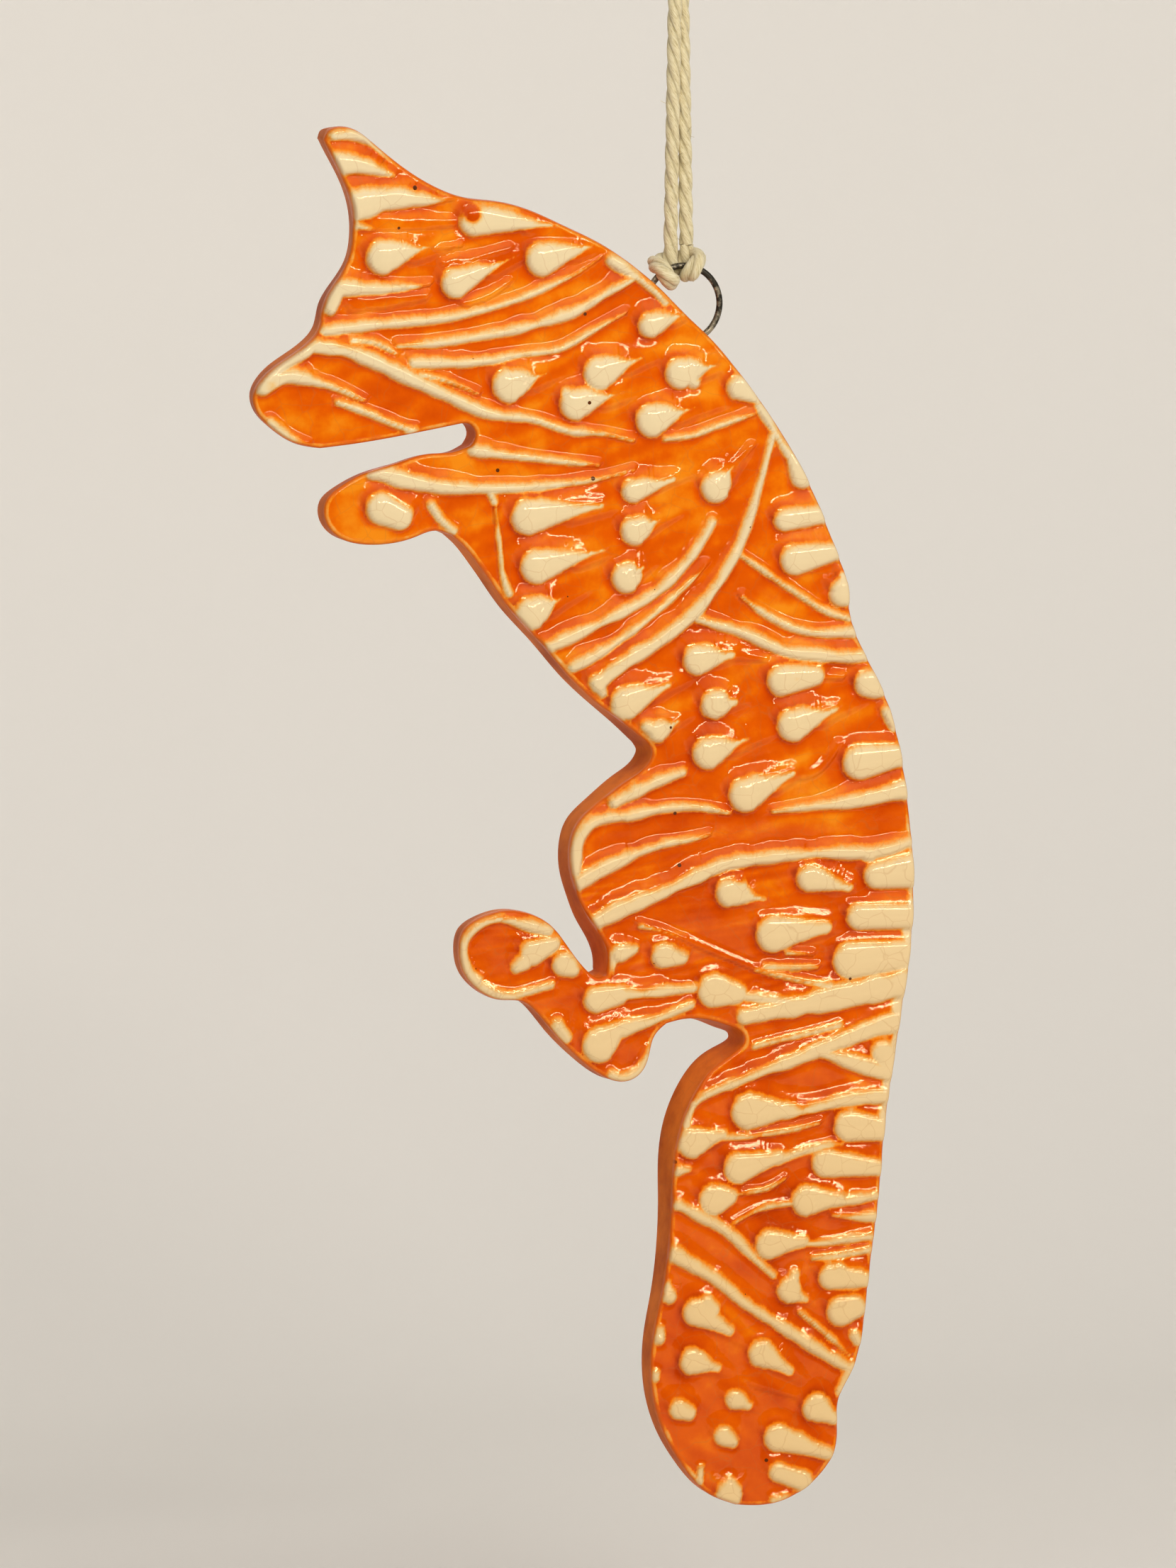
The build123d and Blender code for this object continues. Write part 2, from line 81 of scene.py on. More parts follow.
def linear(colour: str) -> tuple[float, float, float, float]:
    """Turns an sRGB hex colour into linear values.

    Args:
        colour: Six hex digits after a hash.

    Returns:
        Red, green, blue and an opacity of 1.
    """
    parts = [int(colour[place:place + 2], 16) / 255 for place in (1, 3, 5)]
    red, green, blue = (
        part / 12.92 if part <= 0.04045 else ((part + 0.055) / 1.055) ** 2.4 for part in parts
    )
    return (red, green, blue, 1.0)


def feed(node: bpy.types.Node, inputs: dict) -> None:
    """Sets a node's inputs.

    Args:
        node: The node.
        inputs: By the socket's name or number, its constant or the output socket that feeds it.
    """
    for socket, value in inputs.items():
        if isinstance(value, Socket):
            node.id_data.links.new(value, node.inputs[socket])
        else:
            node.inputs[socket].default_value = value


def add_node(
    tree: bpy.types.NodeTree,
    kind: str,
    inputs: dict | None = None,
    stops: list[tuple[float, str]] | None = None,
    **settings: object,
) -> Sockets:
    """Adds one node with its settings, its constants and what feeds it.

    Args:
        tree: The material's or the geometry's tree.
        kind: The node's type.
        inputs: What feed takes.
        stops: Places and hex colours along the node's colour ramp, in order, where it has one.
        settings: The node's properties.

    Returns:
        The new node's outputs.
    """
    node = tree.nodes.new(kind)
    for name, setting in settings.items():
        setattr(node, name, setting)
    feed(node, inputs or {})
    if stops:
        elements = node.color_ramp.elements
        while len(elements) < len(stops):
            elements.new(0.5)
        for element, (place, colour) in zip(elements, stops):
            element.position = place
            element.color = linear(colour)
    return node.outputs


def new_material(name: str) -> tuple[bpy.types.Material, Adder, bpy.types.Node]:
    """Starts a material with one principled shader.

    Args:
        name: What the finish is.

    Returns:
        The material, what adds nodes to its tree, and its shader.
    """
    material = bpy.data.materials.new(name)
    material.use_nodes = True
    material.node_tree.nodes.clear()
    node = partial(add_node, material.node_tree)
    surface = node("ShaderNodeBsdfPrincipled")["BSDF"]
    node("ShaderNodeOutputMaterial", {"Surface": surface})
    return material, node, surface.node


def show(name: str, data: bpy.types.ID) -> bpy.types.Object:
    """Makes an object of its data and puts it in the scene."""
    made = bpy.data.objects.new(name, data)
    bpy.context.scene.collection.objects.link(made)
    return made


def natural_curve(points: Array, step: float) -> Array:
    """Follows a natural cubic curve through listed points.

    Args:
        points: The points, one row each.
        step: About how far apart the results are.

    Returns:
        Places along the curve, both ends among them.
    """
    points = np.asarray(points, float)
    if len(points) < 3:
        count = max(2, int(np.linalg.norm(points[-1] - points[0]) / step) + 1)
        return points[0] + np.linspace(0, 1, count)[:, None] * (points[-1] - points[0])
    runs = np.linalg.norm(np.diff(points, axis=0), axis=1)
    knots = np.concatenate([[0], np.cumsum(runs)])
    size = len(points)
    matrix, right = np.eye(size), np.zeros_like(points)
    for row in range(1, size - 1):
        matrix[row, row - 1:row + 2] = runs[row - 1], 2 * (runs[row - 1] + runs[row]), runs[row]
        right[row] = 6 * (
            (points[row + 1] - points[row]) / runs[row] - (points[row] - points[row - 1]) / runs[row - 1]
        )
    bends = np.linalg.solve(matrix, right)
    at = np.linspace(0, knots[-1], max(2, int(knots[-1] / step) + 1))
    span = np.clip(np.searchsorted(knots, at, side="right") - 1, 0, size - 2)
    after, before = (knots[span + 1] - at)[:, None], (at - knots[span])[:, None]
    width = runs[span][:, None]
    return (
        bends[span] * after ** 3 / (6 * width)
        + bends[span + 1] * before ** 3 / (6 * width)
        + (points[span] / width - bends[span] * width / 6) * after
        + (points[span + 1] / width - bends[span + 1] * width / 6) * before
    )


def eased(value: Array, low: float, high: float) -> Array:
    """Goes smoothly from 0 at low to 1 at high."""
    share = np.clip((value - low) / (high - low), 0, 1)
    return share * share * (3 - 2 * share)


def inside(ring: Array, places: Array) -> Array:
    """Tells which places lie inside a closed ring."""
    crossings = np.zeros(len(places), int)
    for start, end in zip(ring, np.roll(ring, -1, axis=0)):
        level = np.flatnonzero((start[1] <= places[:, 1]) != (end[1] <= places[:, 1]))
        rise = (places[level, 1] - start[1]) / (end[1] - start[1])
        crossings[level] += start[0] + rise * (end[0] - start[0]) < places[level, 0]
    return crossings % 2 == 1


def gradient(measure: Callable[[Array], Array], places: Array, apart: float) -> Array:
    """Finds how a measure of the front changes across and up.

    Args:
        measure: Gives one value for each place.
        places: Places across and up.
        apart: How far to each side the measure is taken.

    Returns:
        The change in each of the two directions, at each place.
    """
    return np.stack([
        measure(places + np.array(shift) * apart) - measure(places - np.array(shift) * apart)
        for shift in ((1.0, 0.0), (0.0, 1.0))
    ], axis=1) / (2 * apart)


@dataclass(frozen=True)
class PhotoView:
    """How the photograph looks at the slab: turned to its left, and a little from above."""

    turn: float = math.radians(17)
    drop: float = math.radians(5)
    # The fox's height in millimetres over its height in pixels
    pixel: float = 177.5 / 1972.6
    ring_pixels: Pixels = (964.0, 426.5)
    ring_place: Place = (0.2096, -1.315, -74.85)
    front: float = -4.065
    centre_across: float = -11.518
    centre_up: float = -135.81
    view_height: float = 199.04
    distance: float = 2000.0
    sensor_width: float = 36.0
    furthest_metres: float = 10.0

    def front_place(self, across: float, down: float) -> Pixels:
        """Finds the place on the slab's front that a pixel shows.

        Args:
            across: The pixel across the photograph.
            down: The pixel down the photograph.

        Returns:
            Millimetres across and up.
        """
        depth = self.front - self.ring_place[1]
        right = (across - self.ring_pixels[0]) * self.pixel
        rise = (self.ring_pixels[1] - down) * self.pixel
        x = (right + depth * math.sin(self.turn)) / math.cos(self.turn)
        back = x * math.sin(self.turn) + depth * math.cos(self.turn)
        z = (rise - back * math.sin(self.drop)) / math.cos(self.drop)
        return (self.ring_place[0] + x, self.ring_place[2] + z)

    def front_places(self, points: list[Pixels]) -> Array:
        """Places on the slab's front of several pixels."""
        return np.array([self.front_place(*point) for point in points])

    def place_camera(self) -> None:
        """Adds the camera, far back with a long lens, as the photograph shows almost no perspective."""
        right = Vector((math.cos(self.turn), -math.sin(self.turn), 0))
        up = Vector((
            math.sin(self.turn) * math.sin(self.drop),
            math.cos(self.turn) * math.sin(self.drop),
            math.cos(self.drop),
        ))
        back = right.cross(up)
        place = (right * self.centre_across + up * self.centre_up + back * self.distance) * MILLIMETRE
        data = bpy.data.cameras.new("camera")
        data.sensor_width = self.sensor_width
        data.lens = self.sensor_width * self.distance / self.view_height
        data.clip_end = self.furthest_metres
        camera = show("camera", data)
        camera.matrix_world = Matrix.Translation(place) @ Matrix((right, up, back)).transposed().to_4x4()
        bpy.context.scene.camera = camera


VIEW = PhotoView()


@dataclass
class Beside:
    """How places lie beside a stroke, and what the stroke is at its part nearest to each."""

    gap: Array
    width: Array
    cream: Array
    height: Array
    upwards: Array


@dataclass
class Stroke:
    """One raised mark of the relief: a middle line on the front, and how wide it is along it."""

    line: Array
    radii: Array
    height: float
    creams: Array
    heights: Array
    head: bool = False

    def beside(self, at: Array) -> Beside:
        """Finds the stroke's nearest part to each place.

        Args:
            at: Places across and up.

        Returns:
            Distance outside the stroke, its half width, cream and share of its height there, and 1
            for a place straight above it to -1 for one straight below.
        """
        start, run = self.line[:-1], np.diff(self.line, axis=0)
        square = np.maximum((run ** 2).sum(1), 1e-12)
        share = np.clip(((at[:, None] - start[None]) * run[None]).sum(2) / square[None], 0, 1)
        away = np.linalg.norm(at[:, None] - start[None] - share[..., None] * run[None], axis=2)
        width = self.radii[:-1][None] + share * np.diff(self.radii)[None]
        gap = away - width
        best = gap.argmin(1)
        rows = np.arange(len(at))
        gap, share, width = gap[rows, best], share[rows, best], width[rows, best]
        offset = at - (start[best] + share[:, None] * run[best])
        return Beside(
            gap, width,
            self.creams[best] + share * (self.creams[best + 1] - self.creams[best]),
            self.heights[best] + share * (self.heights[best + 1] - self.heights[best]),
            offset[:, 1] / np.maximum(np.linalg.norm(offset, axis=1), 1e-6),
        )


@dataclass
class ReliefField:
    """What the strokes make of a place on the front, by place."""

    rise: Array
    cream: Array
    # Pooled glaze, with painted shade below the strokes and behind the drops' heads
    pool: Array
    gap: Array


@dataclass
class EdgeCut:
    """How the slab's edge was cut and rubbed, by place along the outline."""

    edge: Array
    inward: Array
    front_in: Array
    flare: Array
    rounding: Array


@dataclass
class Skin:
    """The slab's surface as it grows, with what the glaze reads at each of its places."""

    points: list[Array] = field(default_factory=list)
    faces: list[list[int]] = field(default_factory=list)
    marks: dict[str, list[Array]] = field(
        default_factory=lambda: {name: [] for name in ("cream", "pool", "wall", "streak")}
    )

    def size(self) -> int:
        """How many places it has so far."""
        return sum(len(part) for part in self.points)

    def add(self, places: Array, depth: Array, **marks: Array | float) -> None:
        """Adds places to the surface.

        Args:
            places: Places across and up.
            depth: Where each is from front to back.
            marks: What the glaze reads there, which is 0 for each that isn't given.
        """
        self.points.append(np.stack([places[:, 0], depth, places[:, 1]], axis=1))
        for name, parts in self.marks.items():
            parts.append(np.broadcast_to(marks.get(name, 0.0), len(places)))


@dataclass
class FoxSlab:
    """The glazed slab of clay: its outline, its hand-rounded edge and its relief."""

    thickness: float = 5.5
    front_rounding: float = 0.5
    relief_height: float = 0.9
    plateau: float = 0.8
    dome: float = 0.26
    low_height: float = 0.4
    lower_foot: float = 0.38
    upper_foot: float = 2.3
    crown_reach: float = 0.5
    merge: float = 0.26
    # How far from a stroke anything is still worked out
    stroke_reach: float = 2.0
    groove_depth: float = 0.2
    groove_fade: float = 0.35
    under_shade: float = 0.55
    # How far painted shade reaches out below a stroke, and pooled glaze with painted shade behind a drop's
    # head
    under_reach: float = 0.55
    head_reach: float = 0.8
    tail_calm: float = 0.26
    # Height, length and pattern of the waves that the hand left in the ground
    ground_waves: tuple[Place, Place] = ((0.09, 9.0, 0.0), (0.03, 3.4, 5.0))
    wall_wave: float = 0.05
    back_wave: float = 0.06
    back_hollow: float = 0.03
    glaze_span: float = 1.1
    arris_cream: float = -0.2
    rump_cream: float = 0.7
    # Streaks lean by these degrees on the body, less those of the second number on the tail
    streak_lean: Pixels = (18.0, 50.0)
    streak_stretch: float = 4.0
    face_step: float = 0.29
    back_step: float = 1.3
    # How far the squares of the front and of the back stay inside their rings
    face_margin: float = 0.13
    back_margin: float = 0.5
    edge_step: float = 0.42
    stripe_step: float = 0.8
    seed: Place = (3.1, 7.7, 1.9)

    # A drop's middle line: its places, how fast it narrows, and how far it bends towards its tip
    drop_places: int = 9
    drop_taper: float = 1.45
    drop_bend: float = 0.22
    # The shares of a drop's length over which it fades, and how much cream and height it loses
    drop_fade: Pixels = (0.25, 0.9)
    faded_cream: float = 0.75
    faded_height: float = 0.35
    # A head of fewer pixels than this holds no pooled glaze and painted shade behind it
    pool_and_shade_head: float = 15.0
    # The ridge beyond a tip: how far it runs in shares of the drop, and at most in pixels
    ridge_start: float = 0.6
    ridge_run: float = 1.1
    ridge_limit: float = 60.0
    ridge_widths: Place = (0.7, 0.5, 0.25)
    ridge_heights: Place = (1.0, 0.8, 0.0)

    # How uneven a stripe is, the length of its waves and of its worn stretches, and its worn end,
    # which only a stripe that ends narrower than these pixels has
    stripe_sway: float = 0.3
    stripe_wave: float = 2.6
    worn_wave: float = 7.0
    worn_cream: float = 0.9
    worn_end: float = 0.5
    narrow_end: float = 8.0

    # Turns of the rounded front edge, shares of the wall and turns of the rounded back edge
    front_turns: tuple[float, ...] = (22.5, 45, 67.5, 90)
    wall_shares: tuple[float, ...] = (0.2, 0.4, 0.6, 0.8, 1.0)
    back_turns: tuple[float, ...] = (15, 30, 45, 60, 75, 90)
    # The furthest that the edge is looked along for room
    edge_room: float = 3.0
    # The back edge's radius by the pixels of wall that show
    shown_pixels: tuple[float, ...] = (6, 12, 16, 30)
    shown_rounding: tuple[float, ...] = (2.2, 1.9, 0.9, 0.45)
    # The cosine of the view's turn, and its cosine and sine together less one
    turn_cosine: float = 0.956
    turn_corner: float = 0.2487

    # Where the relief grows lower towards the tail, and the rump's stretch with a broad cream edge
    tail_top: Pixels = (1100, 1190)
    tail_bottom: Pixels = (1100, 1440)
    rump_top: Pixels = (1290, 1180)
    rump_bottom: Pixels = (1256, 1600)
    rump_left: Pixels = (1180, 1400)

    ear_and_nape: list[Pixels] = field(default_factory=lambda: [
        (460, 204), (465, 190), (481, 184), (500, 187), (522, 201), (550, 224), (584, 249), (620, 269),
        (655, 281), (700, 286), (745, 297), (800, 321), (848, 344),
    ])
    back: list[Pixels] = field(default_factory=lambda: [
        (892, 373), (936, 410), (970, 444), (1003, 475), (1042, 521), (1082, 575), (1118, 631),
        (1144, 680),
        (1167, 734), (1187, 786), (1199, 825), (1202, 862), (1212, 896), (1235, 944), (1256, 990),
        (1270, 1038),
    ])
    rump: list[Pixels] = field(default_factory=lambda: [
        (1280, 1092), (1288, 1155), (1293, 1225), (1293, 1290), (1287, 1358), (1277, 1428), (1266, 1500),
        (1256, 1570),
    ])
    tail_outer: list[Pixels] = field(default_factory=lambda: [
        (1250, 1630), (1243, 1710), (1234, 1780), (1226, 1850), (1218, 1908), (1204, 1948), (1190, 1976),
        (1185, 1998), (1186, 2030), (1179, 2064), (1156, 2096), (1122, 2121), (1082, 2133),
    ])
    tail_inner: list[Pixels] = field(default_factory=lambda: [
        (1040, 2132), (1000, 2115), (966, 2078), (940, 2034), (925, 1990), (919, 1940), (922, 1895),
        (934, 1835), (944, 1770), (949, 1700), (953, 1635), (962, 1592), (980, 1548), (1006, 1512),
        (1040, 1486), (1052, 1471), (1050, 1461), (1032, 1450), (1000, 1441), (966, 1440),
    ])
    hind_leg: list[Pixels] = field(default_factory=lambda: [
        (942, 1446), (926, 1462), (917, 1490), (907, 1514), (884, 1528), (853, 1521), (820, 1497),
        (786, 1464),
        (758, 1430), (740, 1415), (702, 1411), (678, 1400), (656, 1377), (647, 1344), (654, 1312),
        (682, 1292),
        (714, 1284), (748, 1289), (778, 1306), (806, 1342), (828, 1369), (847, 1380),
    ])
    thigh: list[Pixels] = field(default_factory=lambda: [
        (856, 1376), (858, 1352), (850, 1325), (832, 1298), (817, 1268), (805, 1232), (803, 1195),
        (813, 1163),
        (842, 1134), (885, 1101), (914, 1079), (921, 1060),
    ])
    chest: list[Pixels] = field(default_factory=lambda: [
        (912, 1045), (880, 1020), (843, 992), (802, 953), (760, 904), (720, 860), (696, 826), (672, 792),
        (654, 770),
    ])
    front_paw: list[Pixels] = field(default_factory=lambda: [
        (638, 756), (616, 750), (588, 759), (548, 769), (508, 769), (476, 757), (461, 735), (462, 710),
        (482, 689), (522, 667), (566, 653), (606, 642), (645, 638),
    ])
    mouth: list[Pixels] = field(default_factory=lambda: [
        (664, 630), (672, 615), (664, 600), (648, 600), (606, 609), (552, 620), (500, 629),
    ])
    muzzle: list[Pixels] = field(default_factory=lambda: [
        (455, 635), (420, 629), (388, 610), (366, 586), (361, 560), (372, 538), (400, 514), (434, 489),
        (452, 466), (458, 436), (474, 404), (494, 370), (500, 335), (498, 300), (486, 260), (468, 222),
    ])

    # How many pixels of wall show beside the edge at these places: few where the edge was rubbed
    # round, many where the cut flares towards the back. The rows from the tail's tip up the back to
    # the ear are assumed, as no wall shows there
    wall_widths: list[tuple[float, float, float]] = field(default_factory=lambda: [
        (460, 204, 8), (486, 260, 8), (498, 320, 6), (474, 404, 7), (434, 489, 11), (400, 514, 12),
        (361, 560, 6), (388, 610, 8), (455, 635, 10), (552, 620, 12), (648, 600, 13), (672, 615, 15),
        (645, 638, 10), (566, 653, 8), (482, 689, 9), (461, 735, 11), (508, 769, 12), (616, 750, 15),
        (672, 792, 16), (760, 904, 16), (843, 992, 16), (880, 1020, 19), (921, 1060, 25), (885, 1101, 21),
        (813, 1163, 16), (803, 1195, 15), (817, 1268, 18), (850, 1325, 25), (856, 1376, 22),
        (828, 1369, 16),
        (748, 1289, 12), (682, 1292, 9), (647, 1344, 8), (678, 1400, 11), (758, 1430, 14),
        (853, 1521, 15),
        (926, 1462, 16), (1000, 1441, 20), (1050, 1461, 30), (1006, 1512, 28), (962, 1592, 26),
        (949, 1700, 20), (934, 1835, 16), (919, 1940, 13), (940, 2034, 12), (1000, 2115, 11),
        (1122, 2121, 12),
        (1186, 2030, 13), (1226, 1850, 15), (1256, 1570, 15), (1293, 1290, 15), (1256, 990, 15),
        (1187, 786, 15), (1042, 521, 15), (892, 373, 15), (745, 297, 14), (584, 249, 12), (500, 187, 9),
    ])

    # Drops: head across, down and radius, then tip across, down and radius
    head_drops: list[DropRow] = field(default_factory=lambda: [
        (542, 366, 25, 612, 354, 3), (670, 312, 24, 803, 325, 3), (643, 402, 21, 730, 366, 2),
        (765, 367, 24, 845, 348, 4), (719, 544, 25, 770, 532, 3), (812, 570, 23, 880, 557, 2),
        (799, 556, 8, 808, 566, 8),
    ])
    chest_drops: list[DropRow] = field(default_factory=lambda: [
        (538, 719, 22, 564, 731, 18), (746, 729, 26, 846, 716, 8), (758, 799, 25, 852, 779, 5),
        (751, 864, 24, 792, 847, 4), (884, 814, 22, 906, 803, 6), (896, 748, 21, 930, 735, 5),
        (893, 692, 17, 948, 676, 8), (1010, 686, 22, 1036, 658, 4),
    ])
    back_drops: list[DropRow] = field(default_factory=lambda: [
        (961, 525, 23, 1012, 517, 4), (976, 537, 9, 980, 539, 8), (846, 526, 24, 905, 508, 4),
        (920, 592, 24, 980, 578, 3), (918, 458, 18, 966, 443, 5), (1043, 545, 18, 1080, 572, 6),
        (1132, 670, 17, 1110, 625, 7), (1108, 732, 16, 1165, 723, 13), (1123, 788, 22, 1185, 775, 12),
        (1190, 834, 20, 1192, 808, 8),
    ])
    flank_drops: list[DropRow] = field(default_factory=lambda: [
        (985, 930, 22, 1030, 924, 10), (1105, 959, 22, 1150, 953, 14), (1227, 963, 20, 1240, 968, 16),
        (1009, 993, 21, 1034, 991, 10), (884, 991, 24, 942, 968, 8), (1121, 1022, 24, 1180, 1002, 8),
        (928, 1031, 16, 955, 1019, 6), (912, 1024, 9, 920, 1030, 9), (1000, 1062, 23, 1055, 1045, 5),
        (1215, 1075, 25, 1275, 1064, 16), (1053, 1121, 25, 1118, 1093, 9), (842, 962, 12, 850, 978, 6),
        (1253, 1004, 8, 1264, 1026, 6),
    ])
    rump_drops: list[DropRow] = field(default_factory=lambda: [
        (1144, 1240, 19, 1198, 1254, 9), (1240, 1236, 19, 1285, 1230, 24),
        (1031, 1260, 21, 1078, 1272, 5),
        (1040, 1247, 12, 1042, 1250, 12), (1214, 1295, 18, 1285, 1294, 18),
        (1093, 1319, 26, 1165, 1312, 12),
        (1203, 1357, 26, 1285, 1348, 20), (936, 1349, 18, 962, 1353, 9), (1008, 1399, 24, 1040, 1404, 14),
        (874, 1346, 13, 894, 1340, 7), (866, 1352, 6, 863, 1374, 2), (795, 1361, 17, 808, 1370, 9),
        (841, 1412, 18, 872, 1405, 14), (846, 1475, 25, 880, 1452, 9), (750, 1345, 18, 780, 1332, 10),
        (738, 1358, 12, 728, 1366, 8), (786, 1447, 8, 800, 1466, 6), (1225, 1206, 10, 1230, 1206, 10),
    ])
    tail_drops: list[DropRow] = field(default_factory=lambda: [
        (1248, 1488, 17, 1256, 1500, 14), (1058, 1571, 26, 1100, 1571, 13),
        (1201, 1593, 22, 1245, 1598, 16),
        (978, 1615, 22, 1020, 1607, 7), (1044, 1652, 22, 1100, 1640, 9), (1167, 1646, 20, 1245, 1653, 11),
        (958, 1655, 8, 972, 1655, 3), (1008, 1697, 22, 1030, 1693, 11), (1140, 1699, 22, 1185, 1700, 10),
        (1088, 1761, 21, 1135, 1760, 8), (1115, 1826, 17, 1125, 1806, 7), (1118, 1832, 14, 1138, 1841, 4),
        (1175, 1808, 18, 1228, 1812, 11), (1185, 1797, 9, 1190, 1800, 9),
        (1190, 1857, 21, 1207, 1852, 17),
        (1209, 1892, 8, 1213, 1900, 7), (945, 1834, 10, 943, 1816, 4), (984, 1857, 20, 1028, 1886, 7),
        (998, 1843, 10, 1004, 1852, 12), (931, 1894, 8, 932, 1880, 4), (978, 1927, 19, 1012, 1939, 5),
        (1076, 1917, 19, 1114, 1944, 6), (925, 1945, 6, 927, 1951, 4), (1038, 1982, 14, 1056, 1992, 6),
        (958, 1995, 14, 972, 2001, 10), (1154, 1995, 20, 1176, 2012, 9), (1022, 2034, 14, 1036, 2043, 7),
        (1100, 2037, 20, 1168, 2062, 9), (1099, 2086, 13, 1134, 2099, 14),
        (1030, 2116, 19, 1030, 2098, 7),
        (988, 2098, 6, 990, 2080, 3), (1094, 2126, 6, 1110, 2124, 5),
    ])

    # Stripes: width at the start, width at the end, and the middle line
    head_stripes: list[StripeRow] = field(default_factory=lambda: [
        (20, 12, [(474, 196), (500, 195), (528, 206), (552, 224)]),
        (36, 6, [(480, 236), (514, 239), (540, 247), (556, 252)]),
        (50, 5, [(498, 294), (530, 288), (556, 284), (590, 285), (638, 284)]),
        (10, 3, [(502, 322), (530, 328)]),
        (4, 2, [(612, 354), (650, 350)]),
        (24, 4, [(484, 410), (514, 411), (554, 410), (582, 407), (606, 404)]),
        (24, 18, [(474, 418), (468, 440)]),
        (16, 6, [(460, 470), (501, 465), (567, 458), (640, 449), (698, 434), (738, 421), (777, 404),
                 (812, 386), (846, 363)]),
        (11, 16, [(562, 490), (620, 486), (672, 477), (725, 467), (770, 454), (812, 439), (839, 423),
                  (866, 406), (890, 393)]),
        (18, 12, [(862, 368), (890, 385), (915, 403), (938, 426)]),
        (16, 4, [(584, 514), (640, 514), (690, 510), (730, 502), (762, 498), (790, 493), (815, 480),
                 (840, 465), (882, 441)]),
        (24, 6, [(448, 492), (488, 497), (514, 507), (540, 518), (567, 531), (593, 543), (619, 555),
                 (646, 567), (672, 579), (700, 587), (736, 590), (762, 595), (790, 605), (815, 610),
                 (841, 611), (867, 615), (893, 621)]),
        (8, 5, [(498, 483), (536, 489), (560, 503)]),
        (6, 5, [(592, 530), (632, 540), (674, 557)]),
        (24, 6, [(374, 548), (405, 535), (440, 540), (475, 550), (515, 568)]),
        (16, 20, [(372, 545), (400, 520), (430, 500), (448, 488)]),
        (8, 13, [(478, 571), (520, 585), (554, 599), (584, 610)]),
        (14, 6, [(384, 600), (400, 613), (420, 624), (436, 630)]),
    ])
    chest_stripes: list[StripeRow] = field(default_factory=lambda: [
        (16, 5, [(668, 637), (736, 645), (788, 651), (843, 656)]),
        (24, 4, [(528, 668), (560, 676), (600, 685), (640, 689), (690, 690), (740, 688), (800, 682),
                 (850, 674), (893, 662)]),
        (9, 8, [(690, 694), (697, 709)]),
        (7, 12, [(699, 716), (702, 748), (706, 786), (709, 812), (718, 838)]),
        (12, 9, [(608, 714), (622, 734), (641, 750)]),
        (20, 12, [(772, 913), (808, 897), (862, 870), (917, 841), (950, 813), (980, 778), (1005, 736)]),
        (16, 5, [(808, 941), (848, 919), (889, 892), (931, 858), (972, 821), (995, 796)]),
        (24, 10, [(843, 966), (870, 940), (905, 919), (944, 893), (972, 870), (1000, 838), (1021, 808),
                  (1040, 775), (1054, 742), (1067, 701), (1078, 660), (1091, 612)]),
        (12, 14, [(1070, 570), (1088, 598), (1108, 632), (1125, 660)]),
        (6, 8, [(938, 619), (981, 612), (1013, 600), (1050, 587), (1066, 581)]),
    ])
    flank_stripes: list[StripeRow] = field(default_factory=lambda: [
        (12, 20, [(984, 872), (1013, 881), (1054, 894), (1082, 907), (1110, 918), (1145, 922),
        (1190, 925),
                  (1232, 922)]),
        (9, 14, [(1047, 840), (1068, 857), (1096, 874), (1124, 886), (1163, 892), (1206, 890)]),
        (6, 9, [(1046, 783), (1076, 803), (1108, 825), (1136, 843), (1164, 860), (1200, 871)]),
    ])
    thigh_stripes: list[StripeRow] = field(default_factory=lambda: [
        (18, 14, [(866, 1132), (903, 1114), (933, 1100), (962, 1090)]),
        (16, 6, [(884, 1152), (925, 1143), (966, 1139), (998, 1141), (1030, 1148)]),
        (6, 32, [(1092, 1145), (1143, 1138), (1200, 1131), (1246, 1121), (1286, 1112)]),
        (20, 14, [(809, 1228), (813, 1195), (824, 1170), (848, 1156), (885, 1152)]),
        (24, 5, [(814, 1247), (848, 1227), (878, 1213), (908, 1200), (938, 1191), (968, 1186),
        (1000, 1178)]),
        (24, 16, [(840, 1302), (878, 1282), (907, 1270), (937, 1257), (966, 1243), (996, 1230),
        (1025, 1219),
                  (1055, 1214), (1114, 1207), (1173, 1203), (1217, 1204), (1250, 1200), (1287, 1188)]),
        (10, 3, [(904, 1307), (937, 1315), (966, 1327)]),
        (4, 8, [(1068, 1370), (1110, 1381), (1172, 1393)]),
        (6, 6, [(1080, 1366), (1120, 1367), (1155, 1366)]),
        (5, 5, [(1112, 1346), (1148, 1348)]),
        (24, 44, [(1052, 1436), (1113, 1424), (1172, 1412), (1231, 1399), (1284, 1386)]),
        (14, 10, [(1040, 1405), (1075, 1410), (1112, 1414)]),
        (22, 12, [(870, 1402), (920, 1400), (978, 1396)]),
        (22, 10, [(880, 1452), (920, 1440), (975, 1420)]),
        (14, 16, [(672, 1384), (655, 1362), (653, 1335), (668, 1310), (695, 1297), (722, 1299),
        (748, 1307),
                  (772, 1313)]),
        (12, 10, [(680, 1392), (700, 1402), (722, 1405), (750, 1398), (777, 1391)]),
        (14, 8, [(864, 1519), (886, 1521), (904, 1506), (914, 1482)]),
    ])
